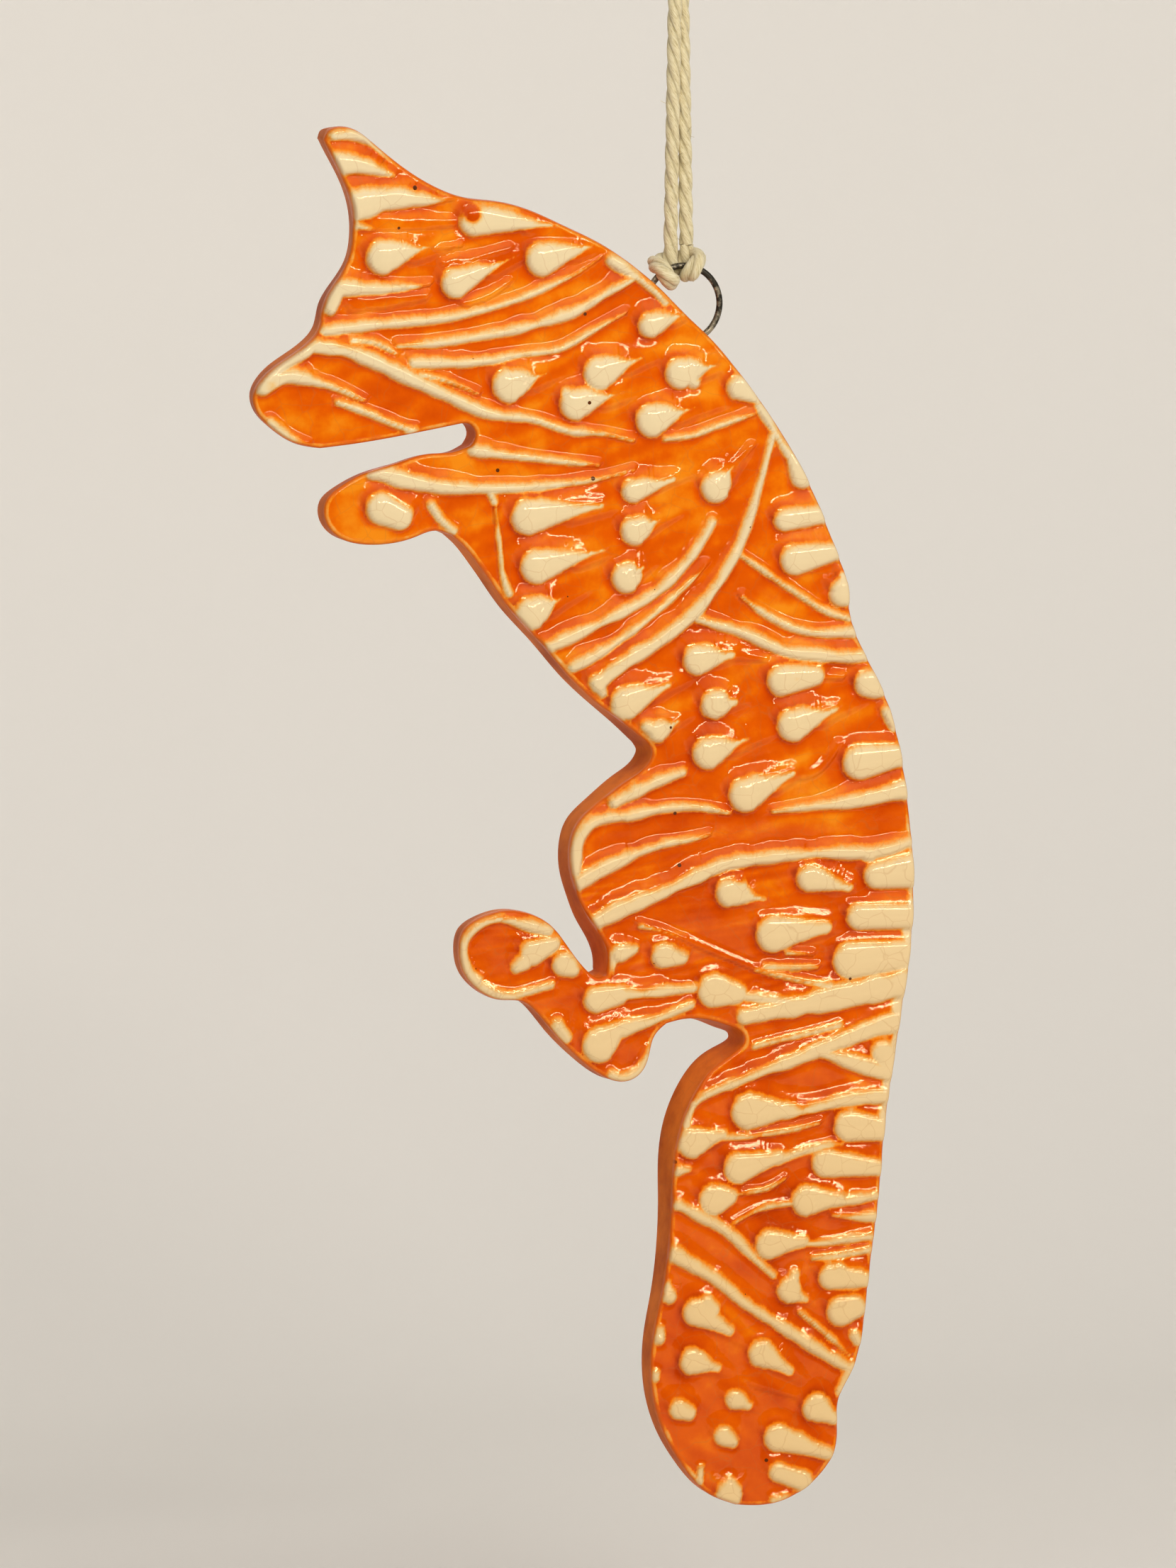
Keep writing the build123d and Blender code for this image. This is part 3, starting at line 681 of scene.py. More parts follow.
    tail_stripes: list[StripeRow] = field(default_factory=lambda: [
        (7, 8, [(1066, 1479), (1100, 1470), (1140, 1461), (1186, 1449)]),
        (12, 26, [(968, 1590), (976, 1565), (992, 1549), (1020, 1536), (1050, 1524), (1080, 1512),
                  (1120, 1499), (1156, 1484), (1200, 1467), (1240, 1452), (1270, 1444)]),
        (18, 26, [(1156, 1486), (1190, 1497), (1220, 1507), (1256, 1516)]),
        (24, 22, [(1095, 1571), (1140, 1567), (1180, 1558), (1220, 1552), (1256, 1550)]),
        (8, 6, [(1015, 1607), (1050, 1608), (1080, 1604), (1118, 1598), (1158, 1588)]),
        (14, 7, [(1098, 1641), (1130, 1630), (1165, 1620), (1190, 1618)]),
        (5, 5, [(1038, 1689), (1062, 1686), (1085, 1681), (1109, 1667)]),
        (5, 12, [(1036, 1730), (1060, 1716), (1080, 1708), (1116, 1702)]),
        (16, 14, [(1180, 1700), (1215, 1697), (1242, 1692)]),
        (8, 16, [(1176, 1719), (1205, 1722), (1238, 1722)]),
        (10, 12, [(1130, 1760), (1165, 1759), (1200, 1754), (1238, 1750)]),
        (6, 10, [(1150, 1781), (1190, 1777), (1236, 1768)]),
        (20, 8, [(958, 1703), (985, 1718), (1006, 1730), (1026, 1742), (1043, 1757), (1060, 1775),
                 (1077, 1792), (1093, 1806)]),
        (20, 14, [(950, 1773), (982, 1792), (1014, 1812), (1040, 1834), (1075, 1859), (1115, 1885),
                  (1160, 1914), (1206, 1942)]),
        (5, 7, [(1130, 1858), (1150, 1874), (1176, 1896), (1202, 1920)]),
        (14, 10, [(1206, 1935), (1196, 1955), (1186, 1972)]),
    ])

    # Low ridges that the glaze covers: width at the start, width at the end, and the middle line
    low_ridges: list[StripeRow] = field(default_factory=lambda: [
        (20, 14, [(515, 322), (575, 322), (640, 318)]), (14, 8, [(625, 375), (675, 366), (718, 354)]),
        (20, 14, [(500, 436), (550, 430), (600, 422)]), (12, 8, [(655, 432), (690, 420), (716, 402)]),
        (16, 10, [(1060, 1958), (1125, 1978)]), (16, 8, [(1030, 924), (1080, 930)]),
        (16, 8, [(1150, 953), (1190, 955)]), (14, 8, [(1036, 658), (1060, 630)]),
        (16, 10, [(1118, 1093), (1146, 1092), (1185, 1051)]), (8, 6, [(966, 1327), (1000, 1342),
        (1068, 1370)]),
    ])

    # Places where a raised mark kept its orange: across, down, radius and how much
    stains: list[tuple[float, float, float, float]] = field(default_factory=lambda: [
        (664, 306, 13, 1.2), (1068, 1240, 10, 0.5), (1040, 1243, 9, 0.5), (1122, 956, 9, 0.3),
        (1130, 1571, 14, 0.3), (384, 548, 12, 0.4),
    ])

    def edge_pixels(self) -> list[list[Pixels]]:
        """The stretches of the outline, clockwise from the ear."""
        return [
            self.ear_and_nape, self.back, self.rump, self.tail_outer, self.tail_inner, self.hind_leg,
            self.thigh, self.chest, self.front_paw, self.mouth, self.muzzle,
        ]

    def outline(self) -> Array:
        """Follows the fox's edge on the front.

        Returns:
            Places across and up, clockwise, in millimetres.
        """
        stretches = self.edge_pixels()
        parts = []
        for index, stretch in enumerate(stretches):
            ends = stretch + [stretches[(index + 1) % len(stretches)][0]]
            parts.append(natural_curve(VIEW.front_places(ends), self.edge_step)[:-1])
        return np.concatenate(parts)

    def strokes(self) -> list[Stroke]:
        """Gathers the drops, the stripes and the low ridges as strokes on the front."""
        drops = (
            self.head_drops + self.chest_drops + self.back_drops + self.flank_drops + self.rump_drops
            + self.tail_drops
        )
        stripes = (
            self.head_stripes + self.chest_stripes + self.flank_stripes + self.thigh_stripes
            + self.tail_stripes
        )
        made = [stroke for row in drops for stroke in self.drop_strokes(row)]
        made += [self.stripe_stroke(row, self.relief_height, 1.0) for row in stripes]
        return made + [self.stripe_stroke(row, self.low_height, 0.0) for row in self.low_ridges]

    def drop_strokes(self, row: DropRow) -> list[Stroke]:
        """Makes a drop, and the low ridge that its tip runs out into.

        Args:
            row: Head and tip, each with its radius.

        Returns:
            The raised drop and the ridge beyond it.
        """
        head, wide = np.array(row[0:2], float), row[2]
        tip, narrow = np.array(row[3:5], float), row[5]
        run = np.linalg.norm(tip - head)
        pointed = narrow < 0.5 * wide and run > wide
        share = np.linspace(0, 1, self.drop_places)
        radii = narrow + (wide - narrow) * (1 - share) ** (self.drop_taper if pointed else 1.0)
        across = np.array([(tip - head)[1], -(tip - head)[0]]) / max(run, 1e-9)
        bend = self.drop_bend * (wide - radii) if pointed else 0 * radii
        line = head + share[:, None] * (tip - head) + across[None] * bend[:, None]
        line = VIEW.front_places([tuple(point) for point in line])
        fade = eased(share, *self.drop_fade) * (1 - self.tail_share(line)) if pointed else 0 * share
        made = [Stroke(
            line, radii * VIEW.pixel, self.relief_height, 1 - self.faded_cream * fade,
            1 - self.faded_height * fade, wide > self.pool_and_shade_head,
        )]
        if pointed:
            start = head + self.ridge_start * (tip - head)
            beyond = tip + (tip - head) / run * min(self.ridge_run * run, self.ridge_limit)
            made.append(Stroke(
                VIEW.front_places([tuple(start), tuple(tip), tuple(beyond)]),
                np.array(self.ridge_widths) * wide * VIEW.pixel,
                self.low_height, np.zeros(3), np.array(self.ridge_heights),
            ))
        return made

    def stripe_stroke(self, row: StripeRow, height: float, cream: float) -> Stroke:
        """Makes one stripe or ridge.

        Args:
            row: Width at both ends, and the middle line.
            height: How high it stands.
            cream: How far the glaze breaks to cream on it.

        Returns:
            The stroke.
        """
        first, last, pixels = row
        line = natural_curve(VIEW.front_places(pixels), self.stripe_step)
        share = np.linspace(0, 1, len(line))
        radii = (first + (last - first) * share) / 2 * VIEW.pixel
        radii = radii * (1 + self.stripe_sway * self.sway(line, self.stripe_wave, last))
        worn = np.clip(self.sway(line, self.worn_wave, first), 0, None)
        worn = worn + self.worn_end * eased(share, 0.8, 1.0) * (last < self.narrow_end)
        return Stroke(line, radii, height, cream * (1 - self.worn_cream * worn), np.ones(len(line)))

    def relief(self, places: Array, strokes: list[Stroke]) -> ReliefField:
        """Works out the relief at places on the front.

        Args:
            places: Places across and up.
            strokes: The strokes of the relief.

        Returns:
            Height, cream, pooled glaze with painted shade, and distance from the nearest stroke, at each
            place.
        """
        count = len(places)
        found = ReliefField(
            np.zeros(count), np.zeros(count), np.zeros(count), np.full(count, self.stroke_reach)
        )
        for stroke in strokes:
            margin = stroke.radii.max() + self.stroke_reach
            low, high = stroke.line.min(0) - margin, stroke.line.max(0) + margin
            near = np.flatnonzero(((places > low) & (places < high)).all(1))
            if len(near):
                self.raise_stroke(found, near, stroke, places[near])
        return found

    def raise_stroke(self, found: ReliefField, near: Array, stroke: Stroke, at: Array) -> None:
        """Adds one stroke at the places near it, with the glaze that thins on it, pooled glaze beside it and
        painted shade below it.
        """
        beside = stroke.beside(at)
        gap, width, upwards = beside.gap, beside.width, beside.upwards
        raised = stroke.creams.max() > 0
        # The foot is steep below a stroke and long above it, and shorter where the stroke is thin
        foot = self.lower_foot + (self.upper_foot - self.lower_foot) * eased(upwards, -0.1, 0.8)
        foot = foot * np.clip(width / 1.2, 0.45, 1)
        climb = np.clip((foot - gap) / (foot + np.minimum(self.crown_reach, 0.9 * width)), 0, 1)
        rise = stroke.height * beside.height * climb * climb * (3 - 2 * climb)
        if raised:
            within = np.clip(-gap / width, 0, 1)
            dome = self.dome * width * within * (2 - within)
            rise = (rise * self.plateau + dome * beside.height) * np.clip(width / 0.8, 0.6, 1)
        # Where two strokes meet, the higher one counts, with a fillet between them
        so_far = found.rise[near]
        apart = np.clip(self.merge - np.abs(so_far - rise), 0, None)
        fillet = apart ** 2 / (4 * self.merge) * eased(np.minimum(so_far, rise), 0.0, self.merge)
        found.rise[near] = np.maximum(so_far, rise) + fillet
        outside = np.clip(gap, 0, None)
        if raised:
            span = self.glaze_span * (0.75 + 1.15 * eased(upwards, -0.1, 0.9))
            cream = np.clip(0.5 - gap / span - 0.5 * (1 - beside.cream), 0, 1)
            found.cream[near] = np.maximum(found.cream[near], cream)
            found.gap[near] = np.minimum(found.gap[near], gap)
            # Painted shadow: the ground just below a stroke is darkened as if the stroke shaded it
            under = self.under_shade * np.exp(-(outside / self.under_reach) ** 2)
            under = under * eased(-upwards, 0.0, 0.8)
            found.pool[near] = np.maximum(found.pool[near], under * eased(beside.cream, 0.3, 0.9))
        # Behind a drop's head the glaze pools in the groove, and the darker ring is also painted shade
        if stroke.head:
            along = stroke.line[-1] - stroke.line[0]
            forward = (at - stroke.line[0]) @ (along / np.linalg.norm(along))
            behind = np.clip(0.55 - 0.45 * forward / stroke.radii[0], 0, 1)
            ring = np.exp(-(outside / self.head_reach) ** 2) * behind
            found.pool[near] = np.maximum(found.pool[near], ring)

    def surface(self, places: Array, strokes: list[Stroke]) -> tuple[ReliefField, Array]:
        """Adds the hand-smoothed ground and the grooves beside the drops to the relief.

        Args:
            places: Places across and up.
            strokes: The strokes of the relief.

        Returns:
            The relief, and the height of the whole front.
        """
        found = self.relief(places, strokes)
        ground = sum(height * self.sway(places, size, shift) for height, size, shift in self.ground_waves)
        groove = self.groove_depth * found.pool * (1 - np.clip(found.rise / self.groove_fade, 0, 1))
        calm = 1 - self.tail_calm * self.tail_share(places)
        return found, (found.rise - groove) * calm + ground

    def clearance(self, edge: Array, normals: Array, reach: float) -> Array:
        """Measures how far each place of the edge can move along its normal before it meets the edge.

        Args:
            edge: The closed outline.
            normals: The direction of travel at each place.
            reach: The furthest that matters.

        Returns:
            The free distance at each place.
        """
        free = np.full(len(edge), reach)
        for travel in np.linspace(reach, reach / 12, 12):
            # A place that meets nothing ends up a full travel away from the edge
            nearest = np.concatenate([
                np.sqrt(((part[:, None] - edge[None]) ** 2).sum(2).min(1))
                for part in np.array_split(edge + normals * travel, 8)
            ])
            free = np.where(nearest < 0.94 * travel, travel * 0.85, free)
        for _ in range(6):
            free = np.minimum(free, (np.roll(free, 1) + free + np.roll(free, -1)) / 3)
        return free

    def wall_shape(self, edge: Array) -> tuple[Array, Array]:
        """Finds how the wall leans and how round its back edge is, all along the edge.

        Args:
            edge: The closed outline.

        Returns:
            How far the wall flares outwards, and the radius of the back edge.
        """
        spots = np.array([VIEW.front_place(x, y) for x, y, _ in self.wall_widths])
        widths = np.array([width for _, _, width in self.wall_widths], float)
        at = np.array([((edge - spot) ** 2).sum(1).argmin() for spot in spots])
        order = at.argsort()
        at, widths = at[order], widths[order]
        count = len(edge)
        shown = np.interp(
            np.arange(count), np.concatenate([at - count, at, at + count]), np.tile(widths, 3)
        )
        rounding = np.interp(shown, self.shown_pixels, self.shown_rounding)
        square = self.thickness * math.sin(VIEW.turn)
        return (shown * VIEW.pixel - square + self.turn_corner * rounding) / self.turn_cosine, rounding

    def cut_edge(self, edge: Array) -> EdgeCut:
        """Works out how the edge is rounded and leans, with less of both where it has little room."""
        tangent = np.roll(edge, -1, axis=0) - np.roll(edge, 1, axis=0)
        tangent /= np.linalg.norm(tangent, axis=1)[:, None]
        inward = np.stack([tangent[:, 1], -tangent[:, 0]], axis=1)
        room_in = self.clearance(edge, inward, self.edge_room)
        room_out = self.clearance(edge, -inward, self.edge_room)
        flare, rounding = self.wall_shape(edge)
        flare = np.clip(flare, -0.3 * room_in, 0.45 * room_out)
        rounding = np.minimum(rounding, 0.7 * room_in)
        for _ in range(12):
            flare = (np.roll(flare, 1) + flare + np.roll(flare, -1)) / 3
            rounding = (np.roll(rounding, 1) + rounding + np.roll(rounding, -1)) / 3
        return EdgeCut(edge, inward, np.minimum(self.front_rounding, 0.7 * room_in), flare, rounding)

    def tail_share(self, places: Array) -> Array:
        """How far each place belongs to the tail, where the relief is lower."""
        top, bottom = VIEW.front_place(*self.tail_top)[1], VIEW.front_place(*self.tail_bottom)[1]
        return 1 - eased(places[:, 1], bottom, top)

    def rump_share(self, places: Array) -> Array:
        """How far each place belongs to the stretch of the rump's edge where the cream is broad."""
        top, bottom = VIEW.front_place(*self.rump_top)[1], VIEW.front_place(*self.rump_bottom)[1]
        here = eased(places[:, 1], bottom - 3, bottom + 6) * (1 - eased(places[:, 1], top - 6, top + 6))
        return here * (places[:, 0] > VIEW.front_place(*self.rump_left)[0])

    def lattice(self, ring: Array, step: float, margin: float) -> tuple[Array, Array, Array, Array]:
        """Fills a ring with a lattice of squares that keeps clear of it, and a seam of triangles.

        Args:
            ring: The closed ring, clockwise.
            step: The size of a square.
            margin: How far the squares stay inside the ring.

        Returns:
            The places, the ring's own first, the squares and the triangles, anticlockwise, and how
            far each place is from the ring.
        """
        low, high = ring.min(0) - step, ring.max(0) + step
        wide, tall = (int(size / step) + 2 for size in high - low)
        across, up = low[0] + step * np.arange(wide), low[1] + step * np.arange(tall)
        grid = np.stack(np.meshgrid(across, up, indexing="ij"), axis=2)
        gap = self.grid_gap(ring, grid, step, margin + 2 * step + 2.5)
        good = inside(ring, grid.reshape(-1, 2)).reshape(wide, tall) & (gap > margin)
        cells = good[:-1, :-1] & good[1:, :-1] & good[1:, 1:] & good[:-1, 1:]
        used = np.zeros((wide, tall), bool)
        for right, above in ((0, 0), (1, 0), (1, 1), (0, 1)):
            used[right:right + wide - 1, above:above + tall - 1] |= cells
        number = np.full((wide, tall), -1)
        number[used] = len(ring) + np.arange(used.sum())
        column, row = np.nonzero(used)
        places = np.concatenate([ring, np.stack([across[column], up[row]], axis=1)])
        x, z = np.nonzero(cells)
        squares = np.stack([number[x, z], number[x + 1, z], number[x + 1, z + 1], number[x, z + 1]], axis=1)
        triangles = self.seam(ring, places, number, cells)
        # The seam's triangles that fall in a square or outside the ring are left out
        middle = places[triangles].mean(1)
        cell = ((middle - low) / step).astype(int)
        free = ~cells[np.clip(cell[:, 0], 0, wide - 2), np.clip(cell[:, 1], 0, tall - 2)]
        triangles, middle = triangles[free], middle[free]
        triangles = triangles[inside(ring, middle)]
        a, b, c = (places[triangles[:, corner]] for corner in range(3))
        turn = (b[:, 0] - a[:, 0]) * (c[:, 1] - a[:, 1]) - (b[:, 1] - a[:, 1]) * (c[:, 0] - a[:, 0])
        triangles[turn < 0] = triangles[turn < 0][:, ::-1]
        return places, squares, triangles, np.concatenate([np.zeros(len(ring)), gap[column, row]])

    def grid_gap(self, ring: Array, grid: Array, step: float, reach: float) -> Array:
        """Measures how far each place of a grid is from a ring, as far as the reach."""
        low = grid[0, 0]
        gap = np.full(grid.shape[:2], 9.0)
        for a, b in zip(ring, np.roll(ring, -1, axis=0)):
            first = np.maximum(((np.minimum(a, b) - low - reach) / step).astype(int), 0)
            last = ((np.maximum(a, b) - low + reach) / step).astype(int) + 2
            near = (slice(first[0], last[0]), slice(first[1], last[1]))
            run = b - a
            share = np.clip(((grid[near] - a) @ run) / (run @ run), 0, 1)
            away = np.linalg.norm(grid[near] - a - share[..., None] * run, axis=2)
            gap[near] = np.minimum(gap[near], away)
        return gap

    def seam(self, ring: Array, places: Array, number: Array, cells: Array) -> Array:
        """Joins the ring to the rim of the squares by triangles, some of them still outside the seam."""
        x, z = np.nonzero(cells)
        padded = np.pad(cells, 1)
        seams = []
        for shift, corners in (
            ((0, -1), ((0, 0), (1, 0))), ((1, 0), ((1, 0), (1, 1))),
            ((0, 1), ((1, 1), (0, 1))), ((-1, 0), ((0, 1), (0, 0))),
        ):
            open_side = ~padded[x + 1 + shift[0], z + 1 + shift[1]]
            first, second = (number[x[open_side] + c[0], z[open_side] + c[1]] for c in corners)
            seams += list(zip(first.tolist(), second.tolist()))
        rim = sorted({index for pair in seams for index in pair})
        count = len(ring)
        place_of = {index: count + place for place, index in enumerate(rim)}
        flat = [Vector(point) for point in ring] + [Vector(places[index]) for index in rim]
        lines = [(index, (index + 1) % count) for index in range(count)]
        lines += [(place_of[a], place_of[b]) for a, b in seams]
        found = delaunay_2d_cdt(flat, lines, [], 0, 1e-7, True)
        origin = [parts[0] if parts else -1 for parts in found[3]]
        name = [
            -1 if source < 0 else source if source < count else rim[source - count] for source in origin
        ]
        triangles = np.array([[name[corner] for corner in face] for face in found[2] if len(face) == 3])
        return triangles[(triangles >= 0).all(1)]

    def sway(self, places: Array, size: float, shift: float) -> Array:
        """Slow waves of hand work over the clay, from -1 to 1.

        Args:
            places: Places across and up.
            size: How long the waves are.
            shift: Picks another pattern.

        Returns:
            One value for each place.
        """
        x, z, depth = self.seed
        return np.array([
            noise.noise((px / size + x + shift, pz / size + z, depth + shift)) for px, pz in places
        ])

    def follow_marks(self, places: Array, fixed: int, strokes: list[Stroke]) -> Array:
        """Moves the places beside a stroke's edge onto it, so that it runs clean, but not the first ones."""
        for _ in range(2):
            gap = self.relief(places, strokes).gap - 0.05
            slope = gradient(lambda at: self.relief(at, strokes).gap, places, 0.04)
            steep = (slope ** 2).sum(1)
            near = (np.abs(gap) < 0.5 * self.face_step) & (steep > 0.5) & (steep < 1.6)
            move = np.where(near, gap, 0)
            move[:fixed] = 0
            places = places - slope * (0.85 * move)[:, None]
        return places

    def add_front(self, skin: Skin, cut: EdgeCut, strokes: list[Stroke]) -> tuple[Array, Array, Array]:
        """Adds the front with its relief.

        Args:
            skin: The surface so far, which is empty.
            cut: How the edge is cut.
            strokes: The strokes of the relief.

        Returns:
            Height and cream along the rim, and how the front leans at each place.
        """
        count = len(cut.edge)
        ring = cut.edge + cut.inward * cut.front_in[:, None]
        places, squares, triangles, rim_gap = self.lattice(ring, self.face_step, self.face_margin)
        places = self.follow_marks(places, count, strokes)
        found, rise = self.surface(places, strokes)
        rump = self.rump_share(places)
        bare = self.arris_cream + self.rump_cream * rump
        bare = bare + (0.3 + 0.9 * rump) * self.sway(places, 3.5, 2.0)
        worn = np.clip(0.5 - (rim_gap - bare) / self.glaze_span, 0, 1)
        stains = sum(
            depth * np.exp(-((places - VIEW.front_place(x, y)) ** 2).sum(1) / (size * VIEW.pixel) ** 2)
            for x, y, size, depth in self.stains
        )
        cream = np.maximum(found.cream, worn) - stains
        angle = np.radians(self.streak_lean[0] - self.streak_lean[1] * self.tail_share(places))
        along = places[:, 0] * np.cos(angle) + places[:, 1] * np.sin(angle)
        across = places[:, 1] * np.cos(angle) - places[:, 0] * np.sin(angle)
        streak = self.sway(np.stack([along / self.streak_stretch, across], axis=1), 1.7, 4.0)
        skin.add(places, VIEW.front - rise, cream=cream, pool=found.pool, streak=streak)
        skin.faces += [*squares.tolist(), *triangles.tolist()]
        lean = gradient(lambda at: self.surface(at, strokes)[1], places, 0.06)
        return rise[:count], cream[:count], lean

    def edge_rings(self, cut: EdgeCut) -> list[tuple[Array, Array, float]]:
        """Lists the rings round the edge: how far in, how deep, and their share of the rim's relief."""
        rings = []
        for turn in np.radians(self.front_turns):
            rings.append(
                (cut.front_in * (1 - np.sin(turn)), cut.front_in * (1 - np.cos(turn)), math.cos(turn))
            )
        straight = self.thickness - cut.front_in - cut.rounding
        for share in self.wall_shares:
            rings.append((-cut.flare * share, cut.front_in + straight * share, 0.0))
        for turn in np.radians(self.back_turns):
            rings.append((
                -cut.flare + cut.rounding * (1 - np.cos(turn)),
                self.thickness - cut.rounding * (1 - np.sin(turn)),
                0.0,
            ))
        return rings

    def add_edge(
        self, skin: Skin, cut: EdgeCut, rim_rise: Array, rim_cream: Array
    ) -> tuple[Array, Array]:
        """Adds the rounded front edge, the wall and the rounded back edge.

        Args:
            skin: The surface so far, whose first places are the front's rim.
            cut: How the edge is cut.
            rim_rise: The relief's height along the rim.
            rim_cream: Its cream along the rim.

        Returns:
            The last ring, and the numbers of its places.
        """
        count = len(cut.edge)
        following = np.roll(np.arange(count), -1)
        current = np.arange(count)
        wall_start = len(self.front_turns)
        for index, (inset, depth, share) in enumerate(self.edge_rings(cut)):
            ring = cut.edge + cut.inward * inset[:, None]
            if wall_start <= index < wall_start + len(self.wall_shares):
                ring = ring + cut.inward * (self.wall_wave * self.sway(ring, 5.0, index * 0.15))[:, None]
            previous, current = current, skin.size() + np.arange(count)
            skin.add(
                ring, VIEW.front + depth - rim_rise * share,
                cream=rim_cream * max(0.0, 1 - index / 3), wall=min(1.0, (index + 1) / 5),
            )
            skin.faces += np.stack(
                [previous, previous[following], current[following], current], axis=1
            ).tolist()
        return ring, current

    def add_back(self, skin: Skin, ring: Array, numbers: Array) -> None:
        """Fills the last ring, whose places have these numbers, with the flat, slightly uneven back."""
        places, squares, triangles, _ = self.lattice(ring, self.back_step, self.back_margin)
        inner = places[len(ring):]
        name = np.concatenate([numbers, skin.size() + np.arange(len(inner))])
        dent = self.back_wave * self.sway(inner, 14.0, 9.0)
        skin.add(inner, VIEW.front + self.thickness - self.back_hollow + dent, wall=2.0)
        skin.faces += name[squares][:, ::-1].tolist() + name[triangles][:, ::-1].tolist()

    def make_mesh(self) -> bpy.types.Object:
        """Builds the slab: front with its relief, rounded edge, wall and back.

        Returns:
            The finished object, in metres, with the glaze's attributes.
        """
        cut = self.cut_edge(self.outline())
        count = len(cut.edge)
        skin = Skin()
        rim_rise, rim_cream, lean = self.add_front(skin, cut, self.strokes())
        glossy = len(skin.faces) + len(self.front_turns) * count
        self.add_back(skin, *self.add_edge(skin, cut, rim_rise, rim_cream))

        mesh = bpy.data.meshes.new("fox_body")
        mesh.from_pydata((np.concatenate(skin.points) * MILLIMETRE).tolist(), [], skin.faces)
        mesh.validate()
        finish = (np.arange(len(skin.faces)) >= glossy).astype(np.int32)
        mesh.polygons.foreach_set("material_index", finish)
        for name, parts in skin.marks.items():
            layer = mesh.attributes.new(name, "FLOAT", "POINT")
            layer.data.foreach_set("value", np.concatenate(parts).astype(np.float32))
        mesh.shade_smooth()
        # The front's own slope shades its relief more smoothly than its facets do
        normals = np.zeros(len(mesh.vertices) * 3)
        mesh.vertex_normals.foreach_get("vector", normals)
        normals = normals.reshape(-1, 3)
        facing = np.stack([-lean[:, 0], -np.ones(len(lean)), -lean[:, 1]], axis=1)
        normals[count:len(lean)] = (facing / np.linalg.norm(facing, axis=1)[:, None])[count:]
        mesh.normals_split_custom_set_from_vertices(normals.tolist())
        return show("fox_body", mesh)

    def build(self) -> bpy.types.Object:
        """Builds the slab and puts it in place of its solid."""
        body = self.make_mesh()
        body.data.materials.append(GlazedClay().material())
        body.data.materials.append(GlazedClay(roughness=0.4, gloss=0.02).material())
        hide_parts("fox_slab")
        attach(body, "fox")
        return body


